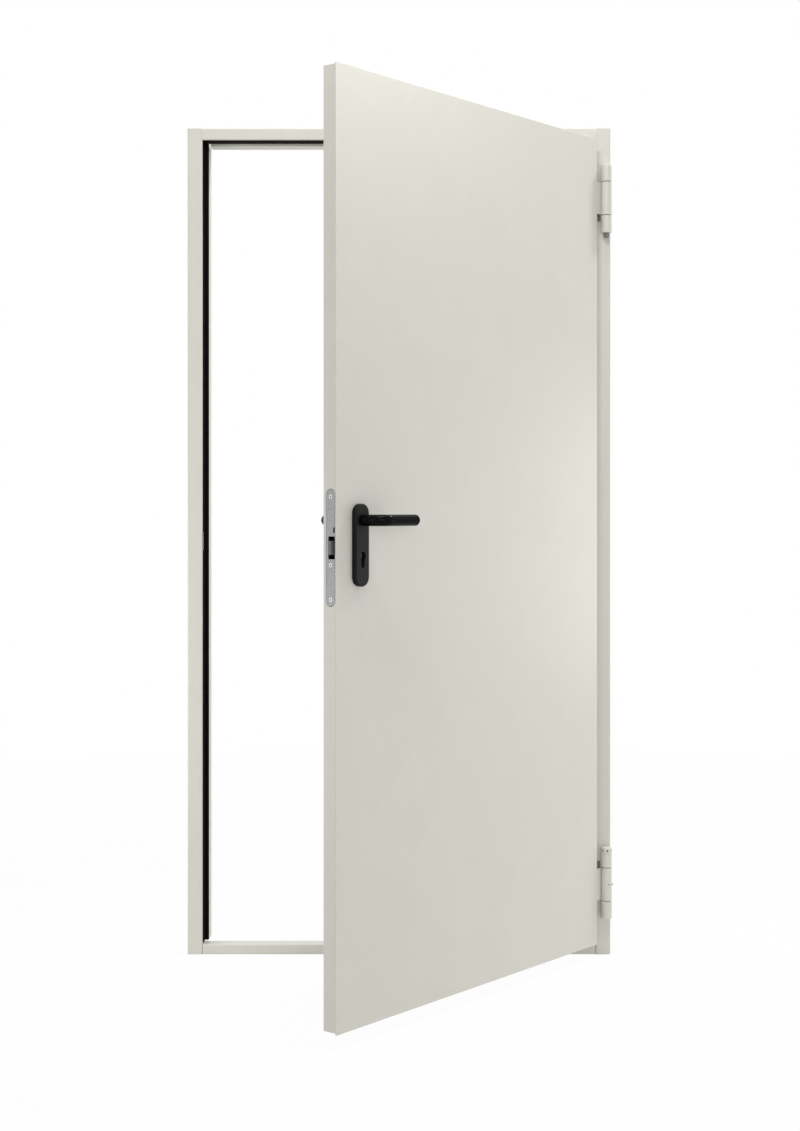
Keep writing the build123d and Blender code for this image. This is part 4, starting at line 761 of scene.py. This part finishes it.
@dataclass
class BulbGaskets:
    """Hollow rubber bulbs on the stops of both jambs.

    Attributes:
        crown: Rounding of the bulb towards the leaf.
        crown_steps: Number of faces on that rounding.
        heel: Rounding of the foot in the bend of the jamb.
        heel_steps: Number of faces on that rounding.
        foot: Thickness of the foot on the stop.
        neck: Height of the groove between foot and bulb.
        neck_depth: Depth of that groove.
        neck_slope: How far each side of that groove leans in.
        wall: Wall of the hollow bulb.
        hollow: How far the hollow is modelled in from each end.
    """

    crown: float = 3.5 * MM
    crown_steps: int = 6
    heel: float = 3.1 * MM
    heel_steps: int = 4
    foot: float = 2.0 * MM
    neck: float = 1.3 * MM
    neck_depth: float = 1.4 * MM
    neck_slope: float = 0.05 * MM
    wall: float = 1.3 * MM
    hollow: float = 30.0 * MM

    def _bulb(self, name: str, node: str, outward: float) -> Piece:
        """Model one gasket in the place of its solid.

        Args:
            name: Name of the piece.
            node: The solid it stands for.
            outward: -1 where the jamb wall lies towards -X, and 1 where it lies towards +X.

        Returns:
            The gasket.
        """
        low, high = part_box(node)
        piece = Bench.block(name, low, high)
        wall_x = low.x if outward < 0 else high.x
        Bench.pick(piece, Pick.EDGES, lambda e: Nearly.runs_along_z(e)
                   and Nearly.same(e.verts[0].co.y, low.y))
        bpy.ops.mesh.bevel(offset=self.crown, segments=self.crown_steps, affect="EDGES")
        Bench.pick(piece, Pick.EDGES, lambda e: Nearly.runs_along_z(e)
                   and Nearly.same(e.verts[0].co.y, high.y)
                   and Nearly.same(e.verts[0].co.x, wall_x))
        bpy.ops.mesh.bevel(offset=self.heel, segments=self.heel_steps, affect="EDGES")
        top = high.y - self.foot
        bottom = top - self.neck
        for depth in (bottom, top):
            Bench.split(piece, depth)
        inner = (-outward, 0.0, 0.0)
        Bench.pick(piece, Pick.FACES, lambda f: Nearly.faces_way(f, inner)
                   and bottom < f.calc_center_median().y < top)
        bpy.ops.mesh.inset(thickness=self.neck_slope, depth=-self.neck_depth)
        Bench.pick(piece, Pick.FACES, lambda f: abs(f.normal.z) > Nearly.ALIGNED
                   and f.calc_center_median().y < bottom)
        bpy.ops.mesh.inset(thickness=self.wall, depth=0.0, use_individual=True)
        bpy.ops.mesh.inset(thickness=0.0, depth=-self.hollow, use_individual=True)
        Bench.smooth(piece)
        return piece

    def build(self, shop: PaintShop) -> None:
        """Model, dress and hang both gaskets.

        Args:
            shop: Gives the finishes.
        """
        for name, node, outward in (("lock_bulb_gasket", "lock_jamb_gasket", -1.0),
                                    ("hinge_bulb_gasket", "hinge_jamb_gasket", 1.0)):
            piece = self._bulb(name, node, outward)
            shop.coat(piece, BULB_RUBBER)
            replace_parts(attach(piece, Body.FRAME.value), node)
            LOG.info("built %s", name)


@dataclass
class FireStrips:
    """Strips that swell in a fire, pressed with two grooves, on the rebate walls.

    Attributes:
        edge: Rounding of the strip's long edges.
        edge_steps: Number of faces on that rounding.
        margin: Distance of a groove from the edge.
        groove: Width of a groove.
        depth: Depth of a groove.
        slope: How far each side of a groove leans in.
        strike_y: Reach of the latch cut-out along Y.
        strike_z: Reach of the latch cut-out along Z.
        overrun: How far the cut runs past the strip.
    """

    edge: float = 0.5 * MM
    edge_steps: int = 3
    margin: float = 4.5 * MM
    groove: float = 1.6 * MM
    depth: float = 0.7 * MM
    slope: float = 0.2 * MM
    strike_y: Span = (-18.9 * MM, -2.5 * MM)
    strike_z: Span = (979.0 * MM, 1022.5 * MM)
    overrun: float = 5.0 * MM

    def _strip(self, name: str, node: str, face: Point) -> Piece:
        """Model one grooved strip in the place of its solid.

        Args:
            name: Name of the piece.
            node: The solid it stands for.
            face: Direction that the grooved side looks in.

        Returns:
            The strip.
        """
        low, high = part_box(node)
        piece = Bench.block(name, low, high)
        looks = Vector(face)
        surface = max(low.dot(looks), high.dot(looks))
        Bench.pick(piece, Pick.EDGES, lambda e: Nearly.same(e.verts[0].co.y, e.verts[1].co.y)
                   and all(Nearly.same(v.co.dot(looks), surface) for v in e.verts))
        bpy.ops.mesh.bevel(offset=self.edge, segments=self.edge_steps, affect="EDGES")
        starts = (low.y + self.margin, high.y - self.margin - self.groove)
        for start in starts:
            for depth in (start, start + self.groove):
                Bench.split(piece, depth)
        Bench.pick(piece, Pick.FACES, lambda f: Nearly.faces_way(f, face)
                   and any(s < f.calc_center_median().y < s + self.groove for s in starts))
        bpy.ops.mesh.inset(thickness=self.slope, depth=-self.depth)
        return piece

    def _open_strike(self, piece: Piece, node: str) -> None:
        """Cut the latch opening out of a strip.

        Args:
            piece: The strip.
            node: The solid it stands for.
        """
        low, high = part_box(node)
        (front, back), (bottom, top) = self.strike_y, self.strike_z
        cutter = Bench.block("strike_cut", Vector((low.x - self.overrun, front, bottom)),
                             Vector((high.x + self.overrun, back, top)))
        Bench.carve(piece, cutter)

    def build(self, shop: PaintShop) -> None:
        """Model, dress and hang the three strips.

        Args:
            shop: Gives the finishes.
        """
        for name, node, face in (("lock_fire_strip", "lock_jamb_strip", (1.0, 0.0, 0.0)),
                                 ("hinge_fire_strip", "hinge_jamb_strip", (-1.0, 0.0, 0.0)),
                                 ("head_fire_strip", "head_strip", (0.0, 0.0, -1.0))):
            piece = self._strip(name, node, face)
            if node == "lock_jamb_strip":
                self._open_strike(piece, node)
            Bench.smooth(piece)
            shop.coat(piece, CHAR_STRIP)
            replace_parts(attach(piece, Body.FRAME.value), node)
            LOG.info("built %s", name)


@dataclass
class HingeWelds:
    """Painted weld beads where the frame knuckles meet the front flange.

    Attributes:
        axis_x: Hinge line along X.
        half_width: Half the width of the welded block.
        flange_y: Front face of the flange.
        standoff: How far a bead's middle stands off the flange.
        radius: Radius of a bead.
        sides: Number of sides of a bead.
        end_share: Width of a bead's ends over that of its middle.
        shade_angle: Largest angle in degrees that is shaded smooth.
        ripple: Spacing of the ripples.
        swell: How much wider a ripple's crest is.
        spans: Height range of each knuckle's weld.
    """

    axis_x: float = HINGE_LINE[0]
    half_width: float = 6.0 * MM
    flange_y: float = -20.5 * MM
    standoff: float = 0.4 * MM
    radius: float = 1.5 * MM
    sides: int = 12
    end_share: float = 0.55
    shade_angle: float = 80.0
    ripple: float = 1.5 * MM
    swell: float = 1.2
    spans: tuple[Span, ...] = (
        (0.0926, 0.1320), (0.2159, 0.2470), (1.7460, 1.7857), (1.8697, 1.9060))

    def _bead(self, name: str, foot: Vector, length: float) -> Piece:
        """Model one upright bead with ripples and rounded ends.

        Args:
            name: Name of the piece.
            foot: Lower end of the bead.
            length: Length of the bead.

        Returns:
            The bead.
        """
        piece = Bench.drum(name, foot, self.radius, length, self.sides)
        cuts = int(length / self.ripple) * 2
        Bench.pick(piece, Pick.EDGES, Nearly.runs_along_z)
        bpy.ops.mesh.subdivide_edgering(number_cuts=cuts, smoothness=0.0)
        step = length / (cuts + 1)
        Bench.pick(piece, Pick.VERTICES, lambda v: round((v.co.z - foot.z) / step) % 2 == 1)
        bpy.ops.transform.resize(value=(self.swell, self.swell, 1.0))
        for end in (foot.z, foot.z + length):
            Bench.pick(piece, Pick.VERTICES, lambda v: Nearly.same(v.co.z, end))
            bpy.ops.transform.resize(value=(self.end_share, self.end_share, 1.0))
        Bench.smooth(piece, self.shade_angle)
        return piece

    def build(self, shop: PaintShop) -> None:
        """Model, dress and hang every bead.

        Args:
            shop: Gives the finishes.
        """
        for place, (low, high) in enumerate(self.spans):
            sides = []
            for side in (-1.0, 1.0):
                across = self.axis_x + side * self.half_width
                foot = Vector((across, self.flange_y - self.standoff, low))
                sides.append(self._bead(f"weld_{place}_{int(side)}", foot, high - low))
            piece = Bench.join(f"knuckle_weld_{place + 1}", sides)
            shop.coat(piece, DOOR_COAT)
            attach(piece, Body.FRAME.value)
            LOG.info("built %s", piece.name)


@dataclass
class HeightScrew:
    """Threaded screw with a key socket under the upper hinge.

    Attributes:
        axis: Hinge line as X and Y.
        head: Height range of the part that shows.
        radius: Radius over the thread.
        sides: Number of sides of the round parts.
        root_share: Radius of the thread's root over that of its crest.
        turns: Number of thread turns that show.
        shank_radius: Radius of the part inside the knuckle.
        shank_top: Upper end of that part.
        socket_radius: Corner radius of the key socket.
        socket_sides: Number of sides of the key socket.
        socket_depth: Depth of the key socket.
    """

    axis: Span = HINGE_LINE
    head: Span = (1735.0 * MM, 1745.0 * MM)
    radius: float = 7.0 * MM
    sides: int = 32
    root_share: float = 0.9
    turns: int = 5
    shank_radius: float = 6.0 * MM
    shank_top: float = 1757.0 * MM
    socket_radius: float = 3.0 * MM
    socket_sides: int = 6
    socket_depth: float = 5.0 * MM

    def build(self, shop: PaintShop) -> None:
        """Model, dress and hang the screw.

        Args:
            shop: Gives the finishes.
        """
        foot = Vector((*self.axis, self.head[0]))
        length = self.head[1] - self.head[0]
        head = Bench.drum("screw_head", foot, self.radius, length, self.sides)
        cuts = 2 * self.turns - 1
        Bench.pick(head, Pick.EDGES, Nearly.runs_along_z)
        bpy.ops.mesh.subdivide_edgering(number_cuts=cuts, smoothness=0.0)
        step = length / (cuts + 1)
        Bench.pick(head, Pick.VERTICES, lambda v: round((v.co.z - foot.z) / step) % 2 == 0)
        bpy.ops.transform.resize(value=(self.root_share, self.root_share, 1.0))
        key_foot = foot - Vector((0.0, 0.0, self.socket_depth))
        key = Bench.drum("key_cut", key_foot, self.socket_radius, 2 * self.socket_depth,
                         self.socket_sides)
        Bench.carve(head, key)
        shank = Bench.drum("screw_shank", Vector((*self.axis, self.head[1])), self.shank_radius,
                           self.shank_top - self.head[1], self.sides)
        piece = Bench.join("threaded_height_screw", (head, shank))
        Bench.smooth(piece)
        shop.coat(piece, SCREW_DARK)
        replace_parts(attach(piece, Body.FRAME.value), "height_screw")
        LOG.info("built %s", piece.name)


@dataclass
class BracketRivets:
    """Blind rivets that hold the corner brackets behind the head corners.

    Attributes:
        places: X and Z of each rivet on the hinge side.
        face_y: Rear face of the brackets.
        radius: Radius of a rivet head.
        sides: Number of sides of a rivet head.
        height: Height of a rivet head.
        edge: Rounding of a rivet head.
        edge_steps: Number of faces on that rounding.
        bore: Radius of the hole that the mandrel leaves.
        bore_depth: Depth of that hole.
    """

    places: tuple[Span, ...] = ((495.0 * MM, 1912.0 * MM), (495.0 * MM, 1948.0 * MM),
                                (437.0 * MM, 1984.5 * MM), (468.0 * MM, 1984.5 * MM))
    face_y: float = -16.0 * MM
    radius: float = 4.0 * MM
    sides: int = 24
    height: float = 1.6 * MM
    edge: float = 0.9 * MM
    edge_steps: int = 4
    bore: float = 1.3 * MM
    bore_depth: float = 1.0 * MM

    def build(self, shop: PaintShop) -> None:
        """Model one rivet, copy it to each place, and dress and hang the sets.

        Args:
            shop: Gives the finishes.
        """
        foot = Vector((0.0, self.face_y + self.height / 2, -self.height / 2))
        first = Bench.drum("rivet", foot, self.radius, self.height, self.sides,
                           (-math.pi / 2, 0.0, 0.0))
        rear = self.face_y + self.height
        Bench.pick(first, Pick.EDGES, lambda e: all(Nearly.same(v.co.y, rear) for v in e.verts))
        bpy.ops.mesh.bevel(offset=self.edge, segments=self.edge_steps, affect="EDGES")
        Bench.pick(first, Pick.FACES, lambda f: Nearly.faces_way(f, (0.0, 1.0, 0.0)))
        bpy.ops.mesh.inset(thickness=self.radius - self.edge - self.bore, depth=0.0)
        bpy.ops.mesh.inset(thickness=0.0, depth=-self.bore_depth)
        Bench.smooth(first)
        for side, label in ((-1.0, "lock"), (1.0, "hinge")):
            copies = [Bench.copy(first, f"rivet_{label}_{n}", Vector((side * x, 0.0, z)))
                      for n, (x, z) in enumerate(self.places)]
            piece = Bench.join(f"{label}_corner_rivets", copies)
            shop.coat(piece, SCREW_ZINC)
            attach(piece, Body.FRAME.value)
            LOG.info("built %s", piece.name)
        bpy.data.objects.remove(first)


@dataclass
class LatchSpring:
    """Coil spring behind the latch.

    Attributes:
        swing: Angle in degrees that the leaf stands open.
        radius: Radius from the axis to the middle of the wire.
        wire: Radius of the wire.
        wire_sides: Number of sides of the wire.
        pitch: Distance between turns.
        turns: Number of turns.
        steps: Number of straight lengths in a turn.
        keep: Share of its length that the spring has with the latch drawn in; not used.
    """

    swing: float = 52.0
    radius: float = 3.6 * MM
    wire: float = 0.5 * MM
    wire_sides: int = 10
    pitch: float = 3.2 * MM
    turns: int = 7
    steps: int = 24
    keep: float = 0.5

    def build(self, shop: PaintShop) -> None:
        """Model, dress and hang the spring.

        Args:
            shop: Gives the finishes.
        """
        low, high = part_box("latch_spring")
        middle = (low + high) / 2
        swing = math.radians(self.swing)
        length = self.pitch * self.turns
        Bench.clear()
        bpy.ops.mesh.primitive_circle_add(vertices=self.wire_sides, radius=self.wire,
                                          fill_type="NOTHING",
                                          location=(self.radius, 0.0, -length / 2),
                                          rotation=(math.pi / 2, 0.0, 0.0))
        piece = Bench.named("latch_coil")
        wind = piece.modifiers.new("wind", "SCREW")
        wind.axis = "Z"
        wind.iterations = self.turns
        wind.screw_offset = self.pitch
        wind.steps = wind.render_steps = self.steps
        bpy.ops.object.modifier_apply(modifier=wind.name)
        Bench.pick(piece, Pick.EDGES, lambda e: e.is_boundary)
        bpy.ops.mesh.fill_holes(sides=0)
        bpy.ops.mesh.select_all(action="SELECT")
        bpy.ops.mesh.normals_make_consistent(inside=False)
        Bench.clear()
        piece.select_set(True)
        piece.location = middle
        piece.rotation_euler = (0.0, math.pi / 2, swing)
        bpy.ops.object.transform_apply(location=True, rotation=True, scale=True)
        Bench.smooth(piece)
        shop.coat(piece, PIN_STEEL)
        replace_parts(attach(piece, Body.LEAF.value), "latch_spring")
        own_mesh(piece)
        LOG.info("built %s", piece.name)


# Studio


@dataclass(frozen=True)
class SoftBox:
    """One square studio light.

    Attributes:
        name: Name of the light.
        place: Where it hangs.
        aim: Point that it looks at.
        side: Length of its side.
        power: Power in watts.
    """

    name: str
    place: Point
    aim: Point
    side: float
    power: float

    def hang(self) -> None:
        """Put the light into the scene."""
        lamp = bpy.data.lights.new(self.name, "AREA")
        lamp.shape = "SQUARE"
        lamp.size = self.side
        lamp.energy = self.power
        holder = bpy.data.objects.new(self.name, lamp)
        bpy.context.scene.collection.objects.link(holder)
        holder.location = self.place
        holder.rotation_mode = "QUATERNION"
        look = Vector(self.aim) - Vector(self.place)
        holder.rotation_quaternion = look.to_track_quat("-Z", "Y")


@dataclass
class Studio:
    """Pale floor, soft light and the camera.

    Attributes:
        ambient: Light from all round.
        floor_side: Side of the floor.
        floor_grey: How much light the floor throws back.
        floor_shadow: Share of the floor's own shading that the camera sees near the part.
        shadow_reach: Distances between which that share falls to nothing.
        lens: Focal length in millimetres.
        sensor: Width of the camera's sensor in millimetres.
        eye: Where the camera stands.
        shift: Shift of the picture along X and Y.
        lights: The studio lights.
    """

    ambient: float = 0.35
    floor_side: float = 30.0
    floor_grey: float = 0.8
    floor_shadow: float = 0.04
    shadow_reach: Span = (1.3, 4.0)
    lens: float = 56.73
    sensor: float = 36.0
    eye: Point = (0.1107, -4.3365, 1.077)
    shift: Span = (-0.0395, -0.0494)
    lights: tuple[SoftBox, ...] = (
        SoftBox("sky", (-0.2, -0.5, 4.4), (0.0, -0.3, 1.0), 1.5, 32.8),
        SoftBox("key", (2.0, 0.8, 3.8), (0.2, -0.3, 1.1), 0.35, 60.0),
        SoftBox("front", (1.2, -8.0, 2.4), (0.0, 0.0, 1.0), 2.5, 93.5),
        SoftBox("right_low", (2.2, -0.9, 0.4), (0.3, -0.3, 0.8), 1.0, 6.7),
        SoftBox("right_back", (1.4, 0.6, 1.0), (0.1, -0.3, 1.0), 0.8, 6.3),
        SoftBox("above_edge", (-0.1, -1.5, 2.9), (-0.1, -0.78, 1.9), 0.22, 8.6),
        SoftBox("above_face", (0.3, -1.0, 2.6), (0.1, -0.5, 1.1), 0.18, 3.1),
        SoftBox("left_side", (-1.3, -0.5, 0.6), (0.1, -0.3, 1.1), 0.6, 5.7),
        SoftBox("left_near", (-1.7, -2.0, 1.2), (-0.48, 0.0, 1.0), 0.8, 3.4),
    )

    @staticmethod
    def _seen_white(sheet: NodeSheet) -> Socket:
        """Place a mask for what sees a white studio.

        Args:
            sheet: The tree that takes the mask.

        Returns:
            The socket of the mask, which is 1 for camera, mirror and glass rays.
        """
        path = sheet.add("ShaderNodeLightPath").outputs
        mirror = sheet.maths("MAXIMUM", path["Is Glossy Ray"], path["Is Transmission Ray"])
        return sheet.maths("MAXIMUM", path["Is Camera Ray"], mirror)

    def _world(self) -> None:
        """Surround the scene with even light and a white background."""
        world = bpy.data.worlds.new("studio")
        bpy.context.scene.world = world
        world.use_nodes = True
        sheet = NodeSheet(world.node_tree)
        seen = self._seen_white(sheet)
        back = sheet.add("ShaderNodeBackground", {
            "Color": WHITE, "Strength": sheet.between(seen, self.ambient, 1.0)})
        sheet.add("ShaderNodeOutputWorld", {"Surface": back.outputs[0]})

    def _floor(self) -> None:
        """Lay a plain white floor that keeps a faint shadow."""
        Bench.clear()
        bpy.ops.mesh.primitive_plane_add(size=self.floor_side)
        floor = bpy.context.active_object
        floor.name = "floor"
        material = bpy.data.materials.new("Studio floor")
        material.use_nodes = True
        sheet = NodeSheet(material.node_tree)
        grey = self.floor_grey
        matt = sheet.add("ShaderNodeBsdfDiffuse", {"Color": (grey, grey, grey, 1.0)})
        glow = sheet.add("ShaderNodeEmission")
        away = sheet.vector("LENGTH", sheet.add("ShaderNodeTexCoord").outputs["Object"])
        near, far = self.shadow_reach
        fade = sheet.add("ShaderNodeMapRange", {
            "Value": away.outputs["Value"], "From Min": near, "From Max": far,
            "To Min": 1.0 - self.floor_shadow, "To Max": 1.0})
        white = sheet.maths("MULTIPLY", self._seen_white(sheet), fade.outputs["Result"])
        mix = sheet.add("ShaderNodeMixShader",
                        {"Fac": white, 1: matt.outputs[0], 2: glow.outputs[0]})
        sheet.add("ShaderNodeOutputMaterial", {"Surface": mix.outputs[0]})
        floor.data.materials.append(material)

    def _camera(self) -> None:
        """Stand the camera square to the frame."""
        lens = bpy.data.cameras.new("camera")
        lens.lens = self.lens
        lens.sensor_width = self.sensor
        lens.shift_x, lens.shift_y = self.shift
        holder = bpy.data.objects.new("camera", lens)
        bpy.context.scene.collection.objects.link(holder)
        holder.location = self.eye
        holder.rotation_euler = (math.pi / 2, 0.0, 0.0)
        bpy.context.scene.camera = holder

    def build(self) -> None:
        """Set up world, floor, lights and camera."""
        bpy.context.scene.view_settings.view_transform = "Standard"
        self._world()
        self._floor()
        for light in self.lights:
            light.hang()
        self._camera()
        LOG.info("set up %d lights", len(self.lights))


def main() -> None:
    """Load the part, dress it, add the fine pieces and set the stage."""
    logging.basicConfig(level=logging.INFO, format="%(name)s: %(message)s")
    for stray in list(bpy.data.objects):
        bpy.data.objects.remove(stray)
    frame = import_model()
    shop = PaintShop()
    shop.coat_nodes(frame["nodes"])
    for assembly in (BulbGaskets(), FireStrips(), HingeWelds(), HeightScrew(), BracketRivets(),
                     LatchSpring()):
        assembly.build(shop)
    Bench.clear()
    Studio().build()


if __name__ == "__main__":
    main()
